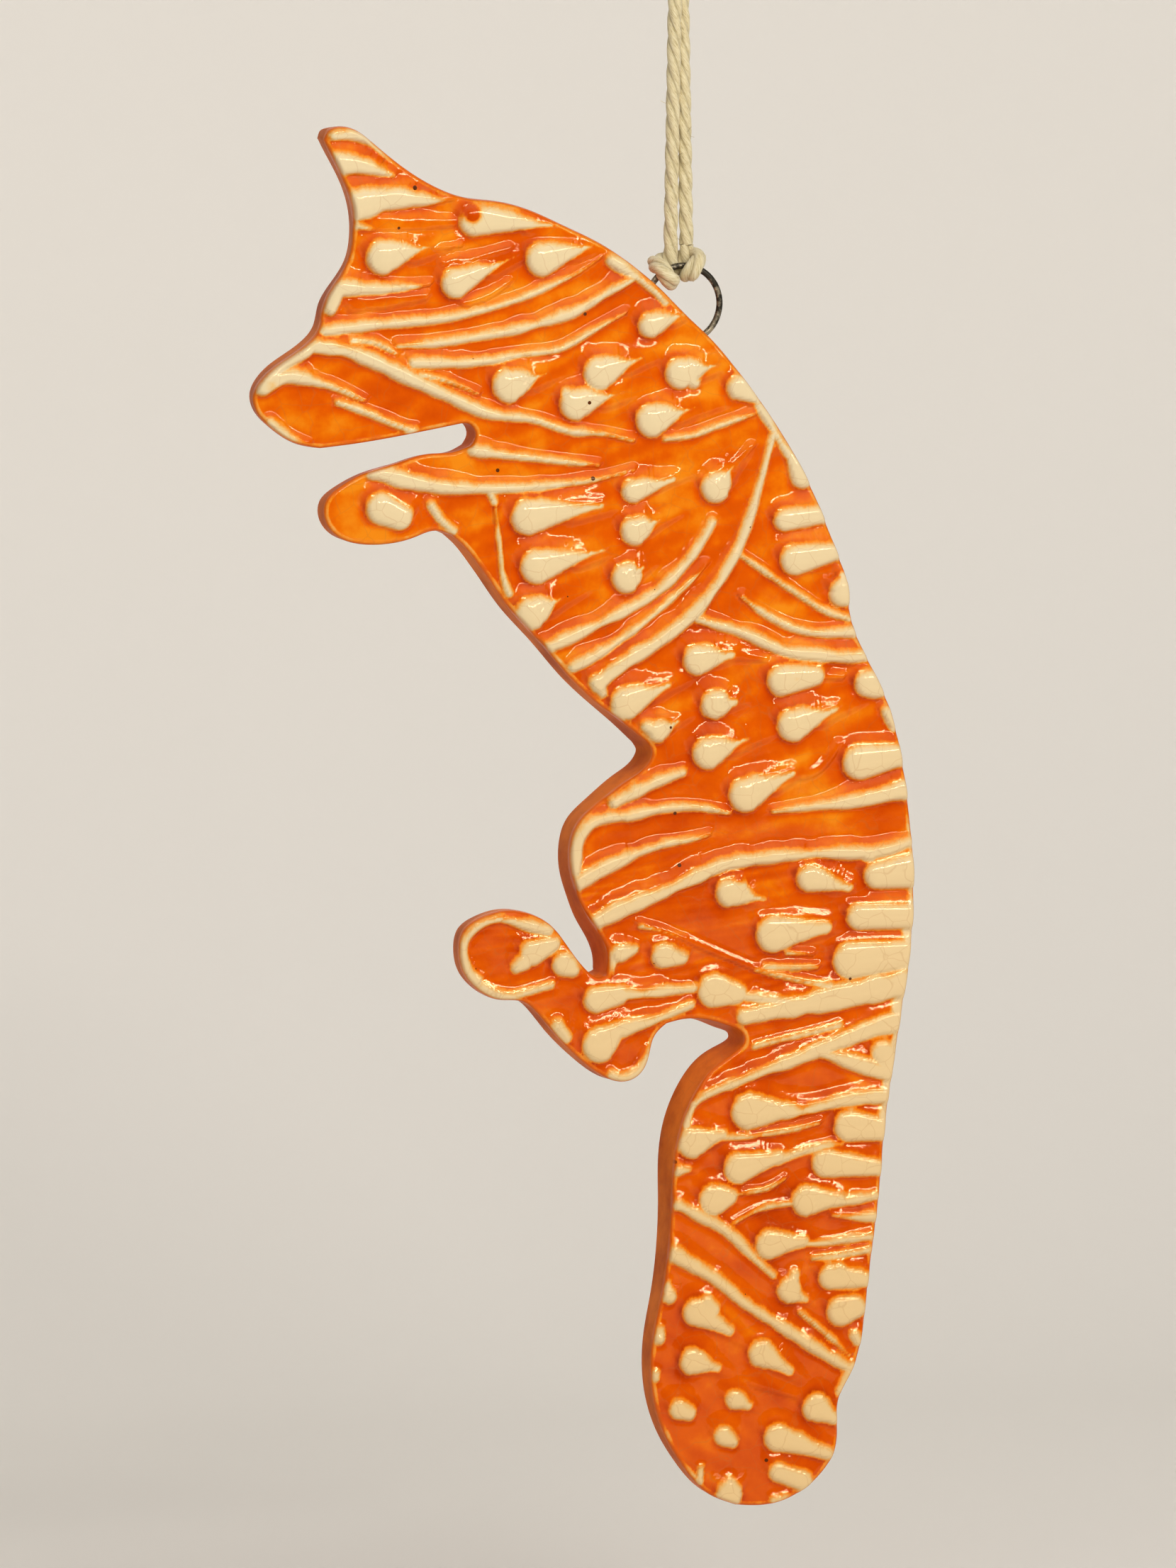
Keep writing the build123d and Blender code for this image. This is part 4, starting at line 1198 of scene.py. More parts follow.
@dataclass(frozen=True)
class GlazedClay:
    """Earthenware under a clear, glossy glaze over orange colour, fired shiny.

    The colour sits deep in the hollows and thins to cream over the raised places, so the eye sees
    soft-edged cream marks, darker pools with painted shade beside them, a fine net of crazing and wet
    highlights.
    """

    cream: str = "#E6D2A8"
    warm_cream: str = "#E6C284"
    tan: str = "#E8A352"
    tail_tint: str = "#FFF0DA"
    amber: str = "#EE8A16"
    thin_orange: str = "#E87204"
    orange: str = "#DE5A00"
    # Burnt and deep orange are deep-lying glaze, and also the painted shade below and behind the marks
    burnt_orange: str = "#CE4800"
    deep_orange: str = "#B03400"
    wall_orange: str = "#E27626"
    wall_dark: str = "#B8521A"
    craze_colour: str = "#B06A34"
    speck_colour: str = "#5A2C12"
    sheen_tint: str = "#FFDDB4"
    roughness: float = 0.07
    gloss: float = 0.34
    ior: float = 1.5
    # Sizes in millimetres: a cell of the crazing, how far its lines wander, a cell of the specks
    craze_cell: float = 3.4
    craze_wander: float = 1.6
    speck_cell: float = 12.0
    # Heights in metres between which the glaze turns to that of the tail
    tail_heights: Pixels = (-0.09, -0.2)
    # Waves in a metre, detail and roughness: clouds of 8 mm, patches of 1.6 mm, grain of 0.4 mm
    cloud: Place = (120.0, 5.0, 0.62)
    patch: Place = (620.0, 3.0, 0.6)
    grain: Place = (2600.0, 2.0, 0.6)

    def material(self) -> bpy.types.Material:
        """Builds the glaze.

        Returns:
            The material.
        """
        material, node, shader = new_material("glazed_earthenware")
        place = node("ShaderNodeTexCoord")["Object"]
        axes = node("ShaderNodeSeparateXYZ", {"Vector": place})
        cloud, patch, grain = (
            node(
                "ShaderNodeTexNoise",
                {"Scale": scale, "Detail": detail, "Roughness": roughness, "Vector": place},
            )["Fac"]
            for scale, detail, roughness in (self.cloud, self.patch, self.grain)
        )
        front = self.front_colour(node, axes["Z"], cloud, patch, grain)
        side = node(
            "ShaderNodeValToRGB", {"Fac": cloud}, [(0.35, self.wall_dark), (0.62, self.wall_orange)]
        )["Color"]
        wall = node("ShaderNodeAttribute", attribute_name="wall")["Fac"]
        on_wall = node("ShaderNodeMapRange", {"From Min": 0.1, "From Max": 0.9, "Value": wall})["Result"]
        sided = node("ShaderNodeMix", {0: on_wall, 6: front, 7: side}, data_type="RGBA")[2]
        crazed = node(
            "ShaderNodeMix",
            {0: self.crazing(node, place), 6: sided, 7: linear(self.craze_colour)}, data_type="RGBA",
        )[2]
        specks = node(
            "ShaderNodeMath", {0: self.specks(node, axes), 1: on_wall}, operation="SUBTRACT",
            use_clamp=True,
        )[0]
        specked = node(
            "ShaderNodeMix", {0: specks, 6: crazed, 7: linear(self.speck_colour)}, data_type="RGBA"
        )[2]
        bump = node("ShaderNodeBump", {"Strength": 0.14, "Distance": 0.00006, "Height": grain})["Normal"]
        wavy = node(
            "ShaderNodeBump", {"Strength": 0.025, "Distance": 0.0005, "Height": patch, "Normal": bump}
        )["Normal"]
        feed(shader, {
            "Base Color": specked, "Roughness": self.roughness, "Specular IOR Level": self.gloss,
            "Specular Tint": linear(self.sheen_tint), "IOR": self.ior, "Normal": wavy,
        })
        return material

    def front_colour(
        self, node: Adder, height: Socket, cloud: Socket,
        patch: Socket, grain: Socket,
    ) -> Socket:
        """Colours the front: orange that deepens where glaze pools and where shade is painted, and breaks to
        cream where it thins.
        """
        cream, pool, streak = (
            node("ShaderNodeAttribute", attribute_name=name)["Fac"]
            for name in ("cream", "pool", "streak")
        )
        start, end = self.tail_heights
        tail = node("ShaderNodeMapRange", {"From Min": start, "From Max": end, "Value": height})["Result"]
        depth, thinned = 0.0, cream
        # The pooled glaze with its painted shade deepens the orange
        for part, amount in ((pool, 0.42), (tail, 0.13), (streak, 0.22), (cloud, 0.95)):
            depth = node("ShaderNodeMath", {0: part, 1: amount, 2: depth}, operation="MULTIPLY_ADD")[0]
        for part, amount in ((patch, 0.42), (grain, 0.16)):
            thinned = node(
                "ShaderNodeMath", {0: part, 1: amount, 2: thinned}, operation="MULTIPLY_ADD"
            )[0]
        broken = node("ShaderNodeMath", {0: thinned, 1: 0.29}, operation="SUBTRACT")[0]
        ground = node("ShaderNodeValToRGB", {"Fac": depth}, [
            (0.28, self.amber), (0.4, self.thin_orange), (0.52, self.orange), (0.74, self.burnt_orange),
            (1.0, self.deep_orange),
        ])["Color"]
        raised = node("ShaderNodeValToRGB", {"Fac": broken}, [
            (0.2, self.orange), (0.36, self.amber), (0.48, self.tan), (0.58, self.warm_cream),
            (0.78, self.cream),
        ])["Color"]
        tinted = node(
            "ShaderNodeMix", {0: tail, 6: raised, 7: linear(self.tail_tint)}, data_type="RGBA",
            blend_type="MULTIPLY",
        )[2]
        share = node("ShaderNodeMapRange", {"From Min": 0.2, "From Max": 0.36, "Value": broken})["Result"]
        return node("ShaderNodeMix", {0: share, 6: ground, 7: tinted}, data_type="RGBA")[2]

    def crazing(self, node: Adder, place: Socket) -> Socket:
        """Draws the net of fine cracks: how far each place is in one."""
        bent = node("ShaderNodeTexNoise", {"Scale": 300.0, "Detail": 2.0, "Vector": place})["Color"]
        shifted = node(
            "ShaderNodeVectorMath", {0: bent, 1: (self.craze_wander * MILLIMETRE,) * 3, 2: place},
            operation="MULTIPLY_ADD",
        )["Vector"]
        apart = node(
            "ShaderNodeTexVoronoi",
            {"Scale": 1000.0 / self.craze_cell, "Randomness": 1.0, "Vector": shifted},
            feature="DISTANCE_TO_EDGE",
        )["Distance"]
        return node(
            "ShaderNodeMapRange",
            {"From Min": 0.0, "From Max": 0.022, "To Min": 0.22, "To Max": 0.0, "Value": apart},
        )["Result"]

    def specks(self, node: Adder, axes: Sockets) -> Socket:
        """Scatters small dark specks of several sizes, and leaves half of the cells without one."""
        flat = node("ShaderNodeCombineXYZ", {"X": axes["X"], "Y": axes["Z"]})["Vector"]
        cells = node(
            "ShaderNodeTexVoronoi",
            {"Scale": 1000.0 / self.speck_cell, "Randomness": 1.0, "Vector": flat}, feature="F1",
            voronoi_dimensions="2D",
        )
        draw = node("ShaderNodeSeparateColor", {"Color": cells["Color"]})["Red"]
        size = node(
            "ShaderNodeMapRange",
            {"From Min": 0.5, "From Max": 1.0, "To Min": 0.0, "To Max": 0.026, "Value": draw},
        )["Result"]
        return node("ShaderNodeMath", {0: cells["Distance"], 1: size}, operation="LESS_THAN")[0]


@dataclass(frozen=True)
class DarkWire:
    """Kiln wire of heat-resistant steel, drawn and then darkened by the firing.

    The scale is nearly black with a brown cast and a dull sheen, rubbed to grey metal in spots, whose light
    grey also serves as painted glints.
    """

    scale_colour: str = "#3A362E"
    rubbed_and_glint_colour: str = "#A89C84"
    metallic: float = 0.85

    def material(self) -> bpy.types.Material:
        """Builds the dark wire."""
        material, node, shader = new_material("fired_steel_wire")
        place = node("ShaderNodeTexCoord")["Object"]
        spots = node(
            "ShaderNodeTexNoise",
            {"Scale": 900.0, "Detail": 5.0, "Roughness": 0.7, "Vector": place},
        )["Fac"]
        # The lighter spots are rubbed metal and also painted glints
        colour = node(
            "ShaderNodeValToRGB", {"Fac": spots},
            [(0.48, self.scale_colour), (0.62, self.rubbed_and_glint_colour)],
        )["Color"]
        rough = node("ShaderNodeMapRange", {"To Min": 0.42, "To Max": 0.3, "Value": spots})["Result"]
        bump = node("ShaderNodeBump", {"Strength": 0.4, "Distance": 0.00008, "Height": spots})["Normal"]
        feed(shader, {
            "Base Color": colour, "Metallic": self.metallic, "Roughness": rough, "Normal": bump,
        })
        return material


@dataclass(frozen=True)
class HempTwine:
    """Undyed hemp spun in thick plies and left unpolished: pale straw, matt, with long fibres."""

    straw: str = "#DCCDA0"
    light: str = "#EFE6C4"
    shade: str = "#AB9866"
    # Painted shade in the grooves between the plies
    painted_groove_shade: str = "#84713F"
    # The length in which a fibre goes once round its ply
    fibre_pitch: float = 7.0
    roughness: float = 0.85
    sheen: float = 0.25

    def material(self) -> bpy.types.Material:
        """Builds the twine."""
        material, node, shader = new_material("hemp_twine")
        along = node("ShaderNodeAttribute", attribute_name="along")["Fac"]
        around = node("ShaderNodeAttribute", attribute_name="around")["Vector"]
        angle = node(
            "ShaderNodeMath", {0: along, 1: 2 * math.pi / (self.fibre_pitch * MILLIMETRE)},
            operation="MULTIPLY",
        )[0]
        turned = node(
            "ShaderNodeVectorRotate", {"Vector": around, "Angle": angle}, rotation_type="Z_AXIS"
        )["Vector"]
        lengthwise = node("ShaderNodeCombineXYZ", {"Z": along})["Vector"]
        # Fibres are drawn a few times as coarse as they are, to show at this size
        place = node(
            "ShaderNodeVectorMath", {0: lengthwise, 1: (0.0, 0.0, 260.0), 2: turned},
            operation="MULTIPLY_ADD",
        )["Vector"]
        fibres = node(
            "ShaderNodeTexNoise", {"Scale": 4.2, "Detail": 4.0, "Roughness": 0.65, "Vector": place}
        )["Fac"]
        colour = node(
            "ShaderNodeValToRGB", {"Fac": fibres},
            [(0.28, self.shade), (0.45, self.straw), (0.68, self.light)],
        )["Color"]
        # Where the surface lies away from the twine's outside, between the plies, it is darkened: painted
        # shade
        crest = node("ShaderNodeAttribute", attribute_name="crest")["Fac"]
        between = node(
            "ShaderNodeMapRange",
            {"From Min": 0.66, "From Max": 0.9, "To Min": 0.75, "To Max": 0.0, "Value": crest},
        )["Result"]
        shaded = node(
            "ShaderNodeMix", {0: between, 6: colour, 7: linear(self.painted_groove_shade)}, data_type="RGBA"
        )[2]
        bump = node("ShaderNodeBump", {"Strength": 0.9, "Distance": 0.00015, "Height": fibres})["Normal"]
        feed(shader, {
            "Base Color": shaded, "Roughness": self.roughness, "Sheen Weight": self.sheen, "Normal": bump,
        })
        return material


class Run(Enum):
    """The two runs of the doubled twine."""

    LEFT = -1
    RIGHT = 1


@dataclass
class Twine:
    """The doubled twine: two runs up to the loop, the hitch on the ring, the knot and its tails."""

    diameter: float = 1.66
    plies: int = 3
    lay_length: float = 10.0
    fullness: float = 1.1
    # Plies are spun soft, so each is fatter than a round one would be and lies closer to the middle
    ply_swell: float = 1.42
    ply_sink: float = 0.67
    strand_offset: float = 0.85
    foot_offset: float = 1.05
    hook_offset: float = 3.43
    neck_offset: float = 0.97
    pivot_height: float = -67.4
    strand_foot: float = -66.27
    strand_head: float = -20.15
    loop_foot: float = -19.85
    knot_foot: float = 4.2
    # Heights between which a run passes from one body to the other
    blend_heights: Pixels = (-10.0, -36.0)
    # How fat the hitch's turns are by their height in metres
    hitch_swell: tuple[list[float], list[float]] = ([-0.0704, -0.0694, -0.0678], [1.3, 1.18, 1.0])
    knot_tightness: float = 0.8
    left_tail: float = 9.0
    right_tail: float = 7.6
    finish: bpy.types.Material | None = None

    def around_line(self, side: int, reach: float, turn: float, height: float) -> Place:
        """A place beside the twine's line.

        Args:
            side: -1 for the left run and 1 for the right.
            reach: How far from the line.
            turn: Degrees that the pair has twisted.
            height: How high.

        Returns:
            The place in millimetres.
        """
        angle = math.radians(turn)
        return (side * reach * math.cos(angle), side * reach * math.sin(angle), height)

    def run_points(self, run: Run) -> list[Place]:
        """The control points of one run, from the hitch to the knot, round the hook that it hangs on."""
        rows = [
            (self.foot_offset, 0, self.pivot_height), (self.foot_offset, 0, self.strand_foot),
            (self.strand_offset, 60, self.strand_head), (self.strand_offset, 60, self.loop_foot),
            (self.strand_offset, 75, -11.0), (self.hook_offset, 90, -4.0), (self.hook_offset, 90, -1.4),
            (self.neck_offset, 90, 1.7), (self.neck_offset, 90, self.knot_foot), (self.neck_offset, 90, 5.4),
        ]
        return [self.around_line(run.value, *row) for row in rows]

    def hitch_points(self) -> list[Place]:
        """The control points of the hitch, from the left run round the wire and back to the right run."""
        return [
            (-self.foot_offset, 0.0, self.pivot_height), (-1.0, 0.1, -70.2), (-1.15, 0.3, -72.0),
            (-1.7, -2.8, -71.95), (-3.1, -2.8, -70.35), (-3.1, 0.7, -69.7), (-1.6, 2.2, -69.6),
            (1.2, 2.2, -69.2), (2.2, 0.7, -68.6), (2.05, -2.8, -69.0), (0.75, -2.8, -70.95),
            (1.0, 0.3, -71.1), (1.0, 0.1, -70.0), (self.foot_offset, 0.0, self.pivot_height),
        ]

    def knot_points(self, run: Run, tail: float) -> list[Place]:
        """The control points of one strand through the overhand knot and out into its tail.

        Args:
            run: The run that the strand goes on from.
            tail: How far its tail rises.

        Returns:
            The places in millimetres.
        """
        middle = [
            (0.0, 0.4, 5.6), (1.2, 1.5, 7.4), (-0.6, 1.9, 9.6), (-2.6, 0.4, 8.6), (-1.6, -1.8, 6.4),
            (1.4, -1.9, 5.9), (2.7, 0.2, 7.2), (1.4, 0.9, 9.4), (-0.3, 0.0, 9.2),
        ]
        side, tight = run.value, self.knot_tightness
        return [
            (0.0, side * self.neck_offset, self.knot_foot),
            *((x * tight, y * tight + side * tight, z) for x, y, z in middle),
            (0.0, side * self.neck_offset, 11.4), (0.0, side * 1.2, 13.4),
            (0.2 * side, side * 3.1, 10.8 + tail),
        ]

    def smooth_line(self, points: list[Place]) -> Array:
        """Reads the middle line that a smooth spline makes of its control points.

        Args:
            points: Control points in millimetres.

        Returns:
            Places along the line, in metres.
        """
        curve = bpy.data.curves.new("line", "CURVE")
        curve.dimensions = "3D"
        curve.resolution_u = 16
        spline = curve.splines.new("NURBS")
        spline.points.add(len(points) - 1)
        for control, point in zip(spline.points, points):
            control.co = (*(value * MILLIMETRE for value in point), 1.0)
        spline.order_u = 3
        spline.use_endpoint_u = True
        holder = bpy.data.objects.new("line", curve)
        mesh = bpy.data.meshes.new_from_object(holder)
        line = np.array([vertex.co for vertex in mesh.vertices])
        bpy.data.meshes.remove(mesh)
        bpy.data.curves.remove(curve)
        return line

    def ply_tree(self) -> bpy.types.NodeTree:
        """Builds the tree that lays plies round a line and lets short fibres stand off them."""
        tree = bpy.data.node_groups.new("laid_plies", "GeometryNodeTree")
        face = tree.interface
        face.new_socket("Line", in_out="INPUT", socket_type="NodeSocketGeometry")
        for name, kind, value in (
            ("Plies", "NodeSocketInt", 3), ("Ply Radius", "NodeSocketFloat", 0.0004),
            ("Ply Offset", "NodeSocketFloat", 0.0004), ("Lay Length", "NodeSocketFloat", 0.009),
            ("Ring Step", "NodeSocketFloat", 0.0003), ("Sides", "NodeSocketInt", 12),
            ("Phase", "NodeSocketFloat", 0.0), ("Fray Density", "NodeSocketFloat", 30000.0),
            ("Fray Length", "NodeSocketFloat", 0.0011), ("Seed", "NodeSocketInt", 3),
        ):
            socket = face.new_socket(name, in_out="INPUT", socket_type=kind)
            socket.default_value = value
        face.new_socket("Finish", in_out="INPUT", socket_type="NodeSocketMaterial")
        face.new_socket("Twine", in_out="OUTPUT", socket_type="NodeSocketGeometry")
        node = partial(add_node, tree)
        given = node("NodeGroupInput")
        swell = node("GeometryNodeInputNamedAttribute", {"Name": "swell"}, data_type="FLOAT")["Attribute"]
        tubes = self.swept_plies(node, given, self.laid_lines(node, given, swell), swell)
        joined = node("GeometryNodeJoinGeometry")["Geometry"]
        for part in (self.stray_fibres(node, given, tubes), tubes):
            feed(joined.node, {"Geometry": part})
        real = node("GeometryNodeRealizeInstances", {"Geometry": joined})["Geometry"]
        smooth = node("GeometryNodeSetShadeSmooth", {0: real})[0]
        dressed = node(
            "GeometryNodeSetMaterial", {"Geometry": smooth, "Material": given["Finish"]}
        )["Geometry"]
        node("NodeGroupOutput", {"Twine": dressed})
        return tree

    def laid_lines(self, node: Adder, given: Sockets, swell: Socket) -> Socket:
        """Winds a line for each ply round the middle line, and marks its length and its middle."""
        line = node("GeometryNodeMeshToCurve", {"Mesh": given["Line"]})["Curve"]
        even = node(
            "GeometryNodeResampleCurve", {"Curve": line, "Length": given["Ring Step"]}, mode="LENGTH"
        )["Curve"]
        several = node(
            "GeometryNodeDuplicateElements", {"Geometry": even, "Amount": given["Plies"]},
            domain="SPLINE",
        )
        length = node("GeometryNodeSplineParameter")["Length"]
        turns = node("ShaderNodeMath", {0: length, 1: given["Lay Length"]}, operation="DIVIDE")[0]
        share = node(
            "ShaderNodeMath", {0: several["Duplicate Index"], 1: given["Plies"]}, operation="DIVIDE"
        )[0]
        for part in (share, given["Phase"]):
            turns = node("ShaderNodeMath", {0: turns, 1: part}, operation="ADD")[0]
        angle = node("ShaderNodeMath", {0: turns, 1: 2 * math.pi}, operation="MULTIPLY")[0]
        arm = node("ShaderNodeVectorRotate", {
            "Vector": node("GeometryNodeInputNormal")["Normal"],
            "Axis": node("GeometryNodeInputTangent")["Tangent"],
            "Angle": angle,
        }, rotation_type="AXIS_ANGLE")["Vector"]
        wander = node("ShaderNodeMath", {0: length, 1: 260.0, 2: share}, operation="MULTIPLY_ADD")[0]
        wobble = node(
            "ShaderNodeTexNoise", {"Scale": 3.0, "Detail": 1.0, "W": wander},
            noise_dimensions="1D",
        )[0]
        reach = node("ShaderNodeMapRange", {"To Min": 0.86, "To Max": 1.14, "Value": wobble})["Result"]
        reach = node("ShaderNodeMath", {0: reach, 1: swell}, operation="MULTIPLY")[0]
        reach = node("ShaderNodeMath", {0: given["Ply Offset"], 1: reach}, operation="MULTIPLY")[0]
        shift = node("ShaderNodeVectorMath", {0: arm, "Scale": reach}, operation="SCALE")["Vector"]
        start = node("GeometryNodeInputPosition")["Position"]
        kept = node(
            "GeometryNodeStoreNamedAttribute",
            {"Name": "middle", "Geometry": several["Geometry"], "Value": start},
            data_type="FLOAT_VECTOR", domain="POINT",
        )["Geometry"]
        laid = node("GeometryNodeSetPosition", {"Geometry": kept, "Offset": shift})["Geometry"]
        laid = node("GeometryNodeSetCurveRadius", {"Curve": laid, "Radius": swell})["Curve"]
        return node(
            "GeometryNodeStoreNamedAttribute", {"Name": "along", "Geometry": laid, "Value": length},
            data_type="FLOAT", domain="POINT",
        )["Geometry"]

    def swept_plies(self, node: Adder, given: Sockets, lines: Socket, swell: Socket) -> Socket:
        """Sweeps a round ply along each line, and marks what lies near the twine's outside."""
        circle = node(
            "GeometryNodeCurvePrimitiveCircle",
            {"Resolution": given["Sides"], "Radius": given["Ply Radius"]},
        )["Curve"]
        rim = node("GeometryNodeInputPosition")["Position"]
        unit = node("ShaderNodeVectorMath", {0: rim}, operation="NORMALIZE")["Vector"]
        ringed = node(
            "GeometryNodeStoreNamedAttribute", {"Name": "around", "Geometry": circle, "Value": unit},
            data_type="FLOAT_VECTOR", domain="POINT",
        )["Geometry"]
        tubes = node(
            "GeometryNodeCurveToMesh",
            {"Fill Caps": True, "Curve": lines, "Profile Curve": ringed, "Scale": swell},
        )["Mesh"]
        centre = node(
            "GeometryNodeInputNamedAttribute", {"Name": "middle"}, data_type="FLOAT_VECTOR"
        )["Attribute"]
        here = node("GeometryNodeInputPosition")["Position"]
        apart = node("ShaderNodeVectorMath", {0: here, 1: centre}, operation="DISTANCE")["Value"]
        full = node(
            "ShaderNodeMath", {0: given["Ply Offset"], 1: given["Ply Radius"]}, operation="ADD"
        )[0]
        full = node("ShaderNodeMath", {0: full, 1: swell}, operation="MULTIPLY")[0]
        crest = node("ShaderNodeMath", {0: apart, 1: full}, operation="DIVIDE")[0]
        return node(
            "GeometryNodeStoreNamedAttribute", {"Name": "crest", "Geometry": tubes, "Value": crest},
            data_type="FLOAT", domain="POINT",
        )["Geometry"]

    def stray_fibres(self, node: Adder, given: Sockets, tubes: Socket) -> Socket:
        """Scatters short loose fibres over the plies."""
        scattered = node(
            "GeometryNodeDistributePointsOnFaces",
            {"Mesh": tubes, "Density": given["Fray Density"], "Seed": given["Seed"]},
        )
        # One fibre of length 1, which leaves the ply and lies down along it
        hair = node("GeometryNodeCurvePrimitiveBezierSegment", {
            "Resolution": 4, "Start": (0, 0, 0), "Start Handle": (0.1, 0.0, 0.3),
            "End Handle": (0.45, 0.1, 0.35), "End": (1.0, 0.1, 0.45),
        })["Curve"]
        thin = node("GeometryNodeCurvePrimitiveCircle", {"Resolution": 3, "Radius": 0.035})["Curve"]
        strand = node("GeometryNodeCurveToMesh", {"Curve": hair, "Profile Curve": thin})["Mesh"]
        size, spin = (
            node(
                "FunctionNodeRandomValue", {2: low, 3: high, "Seed": given["Seed"]},
                data_type="FLOAT",
            )[1]
            for low, high in ((0.3, 1.0), (-0.9, 0.9))
        )
        sized = node("ShaderNodeMath", {0: size, 1: given["Fray Length"]}, operation="MULTIPLY")[0]
        tilt = node("ShaderNodeCombineXYZ", {"Z": spin})["Vector"]
        turned = node(
            "FunctionNodeRotateRotation", {0: scattered["Rotation"], 1: tilt},
            rotation_space="LOCAL",
        )[0]
        return node("GeometryNodeInstanceOnPoints", {
            "Points": scattered["Points"], "Instance": strand, "Rotation": turned, "Scale": sized,
        })["Instances"]

    def lay_plies(
        self, name: str, lines: list[Array], tree: bpy.types.NodeTree,
        swell: tuple[list[float], list[float]] = ((0.0, 1.0), (1.0, 1.0)), **sizes: float,
    ) -> bpy.types.Object:
        """Lays the plies along one or more lines.

        Args:
            name: The piece's name.
            lines: Middle lines, in metres.
            tree: The tree that lays them.
            swell: Heights in metres, and how full the twine is at each.
            sizes: Inputs of the tree that differ, with underscores for spaces.

        Returns:
            The finished piece, a plain mesh.
        """
        points, edges = [], []
        for line in lines:
            edges += [(len(points) + index, len(points) + index + 1) for index in range(len(line) - 1)]
            points += line.tolist()
        guide = bpy.data.meshes.new(name)
        guide.from_pydata(points, edges, [])
        layer = guide.attributes.new("swell", "FLOAT", "POINT")
        layer.data.foreach_set("value", np.interp([point[2] for point in points], *swell))
        holder = show(name, guide)
        modifier = holder.modifiers.new("laid_plies", "NODES")
        modifier.node_group = tree
        # The radius of three round plies that fill the twine, and 2 / sqrt(3) of it from the middle
        ply = self.diameter * MILLIMETRE / 2 / (1 + 2 / math.sqrt(3))
        wanted = {
            "Plies": self.plies, "Ply Radius": self.ply_swell * self.fullness * ply,
            "Ply Offset": ply * 2 / math.sqrt(3) * self.ply_sink * self.fullness,
            "Lay Length": -self.lay_length * MILLIMETRE, "Finish": self.finish,
        } | {key.replace("_", " "): value for key, value in sizes.items()}
        for socket in tree.interface.items_tree:
            if socket.name in wanted:
                modifier[socket.identifier] = wanted[socket.name]
        evaluated = holder.evaluated_get(bpy.context.evaluated_depsgraph_get())
        mesh = bpy.data.meshes.new_from_object(evaluated)
        holder.modifiers.clear()
        holder.data = mesh
        mesh.name = name
        bpy.data.meshes.remove(guide)
        return holder

    def build(self) -> list[bpy.types.Object]:
        self.finish = HempTwine().material()
        tree = self.ply_tree()
        lines = {run: self.smooth_line(self.run_points(run)) for run in Run}
        hitch = self.lay_plies(
            "twine_hitch_turns", [self.smooth_line(self.hitch_points())], tree, self.hitch_swell, Seed=11
        )
        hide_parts("twine_hitch")
        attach(hitch, "hitch")
        tails = ((Run.LEFT, self.left_tail), (Run.RIGHT, self.right_tail))
        knot_lines = [self.smooth_line(self.knot_points(run, tail)) for run, tail in tails]
        knot = self.lay_plies("twine_top_knot", knot_lines, tree, Seed=12)
        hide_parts("twine_knot", "twine_tails")
        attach(knot, "cord")
        made = [hitch, knot]
        for run, nodes in ((Run.LEFT, ["twine_left", "twine_loop"]), (Run.RIGHT, ["twine_right"])):
            line = lines[run]
            piece = self.lay_plies(f"twine_{run.name.lower()}_run", [line], tree, Seed=20 + run.value)
            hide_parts(*nodes)
            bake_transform(piece)
            made.append(piece)
        return made


@dataclass
class HangingRing:
    """The ring of dark wire whose ends are fired into the nape."""

    def build(self, nodes: dict[str, bpy.types.Object]) -> bpy.types.Object:
        """Dresses the ring's own solid, whose shape is right."""
        ring = nodes["hanging_ring"]
        ring.data.materials.clear()
        ring.data.materials.append(DarkWire().material())
        return ring


@dataclass(frozen=True)
class Lamp:
    """A soft lamp that faces the fox: its place and size in metres, and its power in watts."""

    name: str
    place: Place
    size: Pixels
    power: float


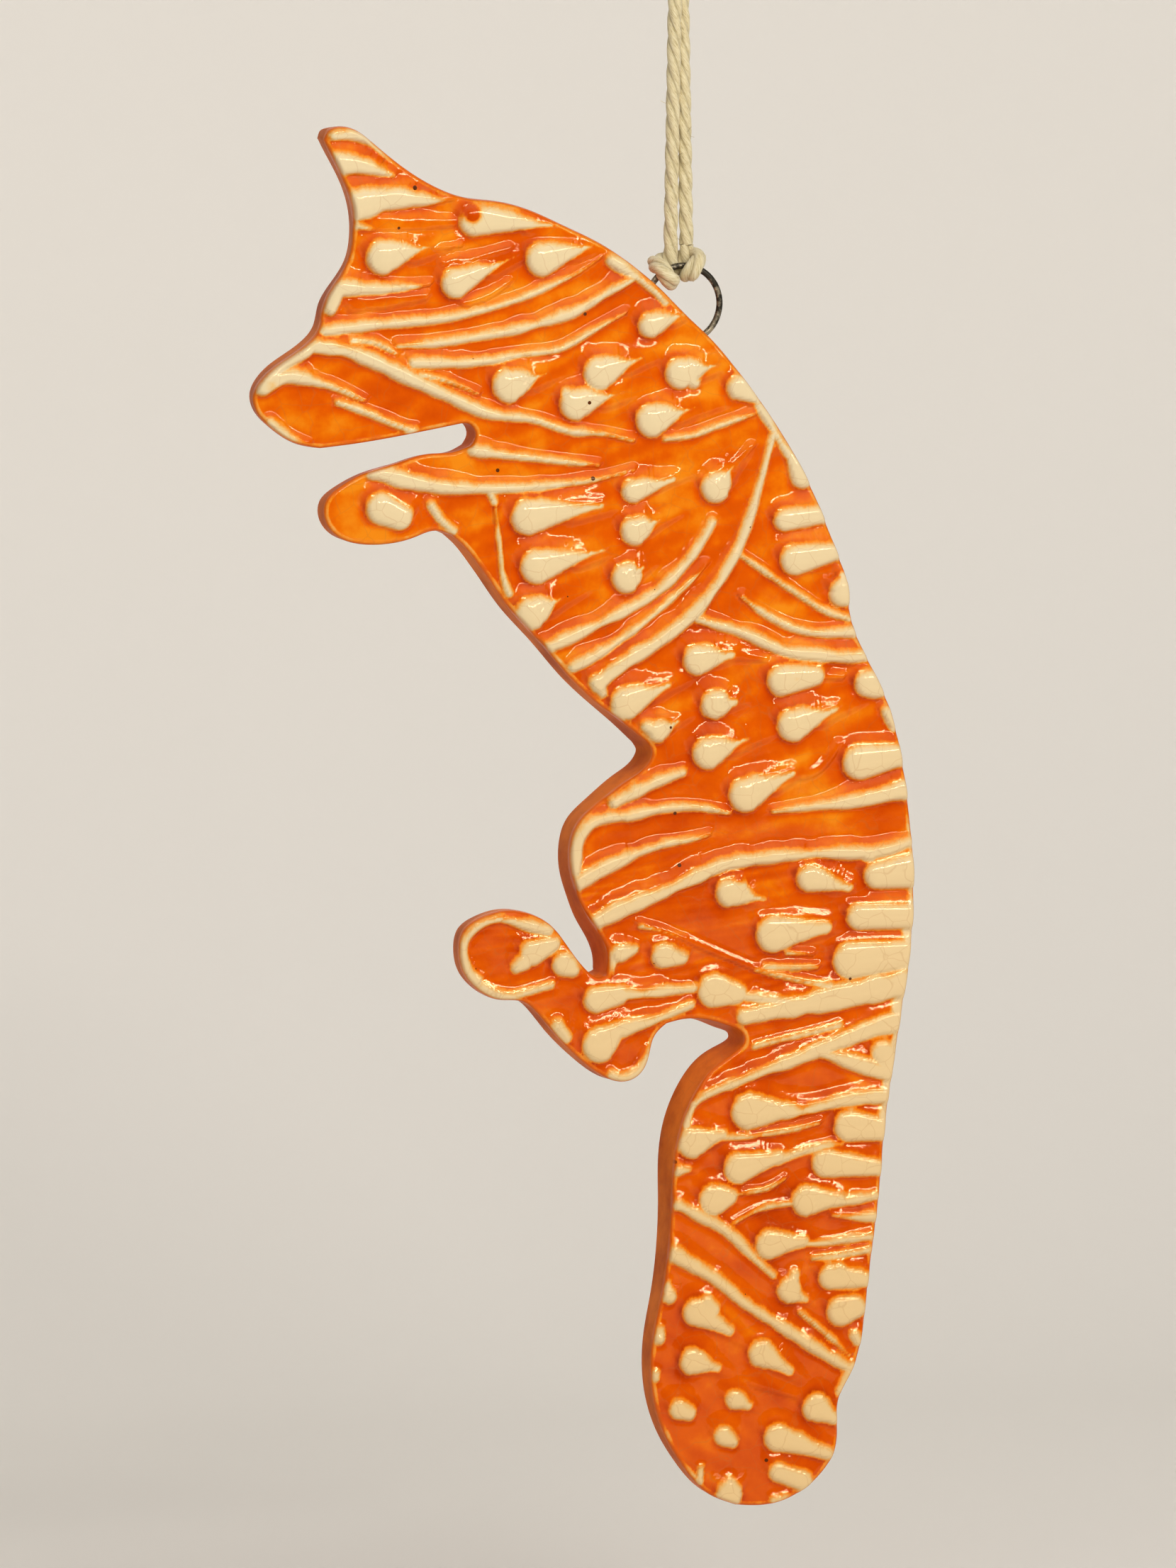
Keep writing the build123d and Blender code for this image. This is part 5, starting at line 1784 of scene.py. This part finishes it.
@dataclass(frozen=True)
class Studio:
    """A pale sweep behind and under the fox, and soft light from above and in front."""

    paper: str = "#F4F2EE"
    lamp_colour: str = "#FFF9F1"
    floor_height: float = -252.0
    wall_distance: float = 420.0
    curve: float = 160.0
    reach: float = 1600.0
    wall_top: float = 1500.0
    # The middle of the fox, in metres
    aim: Place = (-0.015, 0.0, -0.14)
    lamps: tuple[Lamp, ...] = (
        Lamp("ceiling_softbox", (-0.15, -0.45, 0.75), (1.3, 0.8), 3.0),
        Lamp("broad_panel", (0.0, -0.8, 0.62), (1.8, 0.6), 3.0),
        Lamp("room_front", (-0.9, -1.3, 0.05), (1.0, 1.0), 2.3),
        Lamp("bright_window", (0.25, -0.9, 0.29), (0.8, 0.036), 5.4),
    )
    # How bright the room is to all but the camera, and to the camera
    room_light: float = 0.1
    room_seen: float = 0.8

    def build(self) -> None:
        """Adds the sweep, the lamps and the world."""
        self.add_sweep()
        for lamp in self.lamps:
            self.add_lamp(lamp)
        world = bpy.data.worlds.new("room")
        bpy.context.scene.world = world
        world.use_nodes = True
        node = partial(add_node, world.node_tree)
        direct = node("ShaderNodeLightPath")["Is Camera Ray"]
        strength = node(
            "ShaderNodeMapRange",
            {"To Min": self.room_light, "To Max": self.room_seen, "Value": direct},
        )["Result"]
        feed(world.node_tree.nodes["Background"], {"Color": linear(self.paper), "Strength": strength})
        bpy.context.scene.view_settings.view_transform = "Standard"

    def add_sweep(self) -> None:
        """Adds the paper, which curves up from the floor to the wall."""
        outline = [(-self.reach, self.floor_height)]
        for angle in np.linspace(0, 1, 16) * math.pi / 2:
            outline.append((
                self.wall_distance - self.curve + self.curve * math.sin(angle),
                self.floor_height + self.curve * (1 - math.cos(angle)),
            ))
        outline.append((self.wall_distance, self.wall_top))
        points = [
            (side * self.reach * MILLIMETRE, y * MILLIMETRE, z * MILLIMETRE)
            for y, z in outline for side in (-1, 1)
        ]
        faces = [(2 * i, 2 * i + 1, 2 * i + 3, 2 * i + 2) for i in range(len(outline) - 1)]
        mesh = bpy.data.meshes.new("paper_sweep")
        mesh.from_pydata(points, [], faces)
        mesh.shade_smooth()
        mesh.materials.append(self.paper_material())
        show("paper_sweep", mesh)

    def paper_material(self) -> bpy.types.Material:
        """Builds matt paper with a fine tooth, which is clear from behind to let every side be seen."""
        material, node, shader = new_material("pale_paper")
        place = node("ShaderNodeTexCoord")["Object"]
        tooth = node("ShaderNodeTexNoise", {"Scale": 400.0, "Detail": 3.0, "Vector": place})["Fac"]
        bump = node("ShaderNodeBump", {"Strength": 0.05, "Height": tooth})["Normal"]
        feed(shader, {"Base Color": linear(self.paper), "Roughness": 0.9, "Normal": bump})
        behind = node("ShaderNodeNewGeometry")["Backfacing"]
        clear = node("ShaderNodeBsdfTransparent")["BSDF"]
        seen = node("ShaderNodeMixShader", {0: behind, 1: shader.outputs["BSDF"], 2: clear})["Shader"]
        feed(material.node_tree.get_output_node("ALL"), {"Surface": seen})
        return material

    def add_lamp(self, lamp: Lamp) -> None:
        """Adds one lamp and turns it to the fox."""
        data = bpy.data.lights.new(lamp.name, "AREA")
        data.shape = "RECTANGLE"
        data.size, data.size_y = lamp.size
        data.energy = lamp.power
        data.color = linear(self.lamp_colour)[:3]
        made = show(lamp.name, data)
        turn = (Vector(self.aim) - Vector(lamp.place)).to_track_quat("-Z", "Y").to_matrix().to_4x4()
        made.matrix_world = Matrix.Translation(lamp.place) @ turn


def main() -> None:
    """Builds the camera, the twine, the slab, the ring and the studio in turn."""
    logging.basicConfig(level=logging.INFO, format="%(message)s")
    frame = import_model()
    VIEW.place_camera()
    pieces = Twine().build()
    pieces.append(FoxSlab().build())
    pieces.append(HangingRing().build(frame["nodes"]))
    Studio().build()
    for piece in pieces:
        LOG.info("%s: %d faces", piece.name, len(piece.data.polygons))


if __name__ == "__main__":
    main()
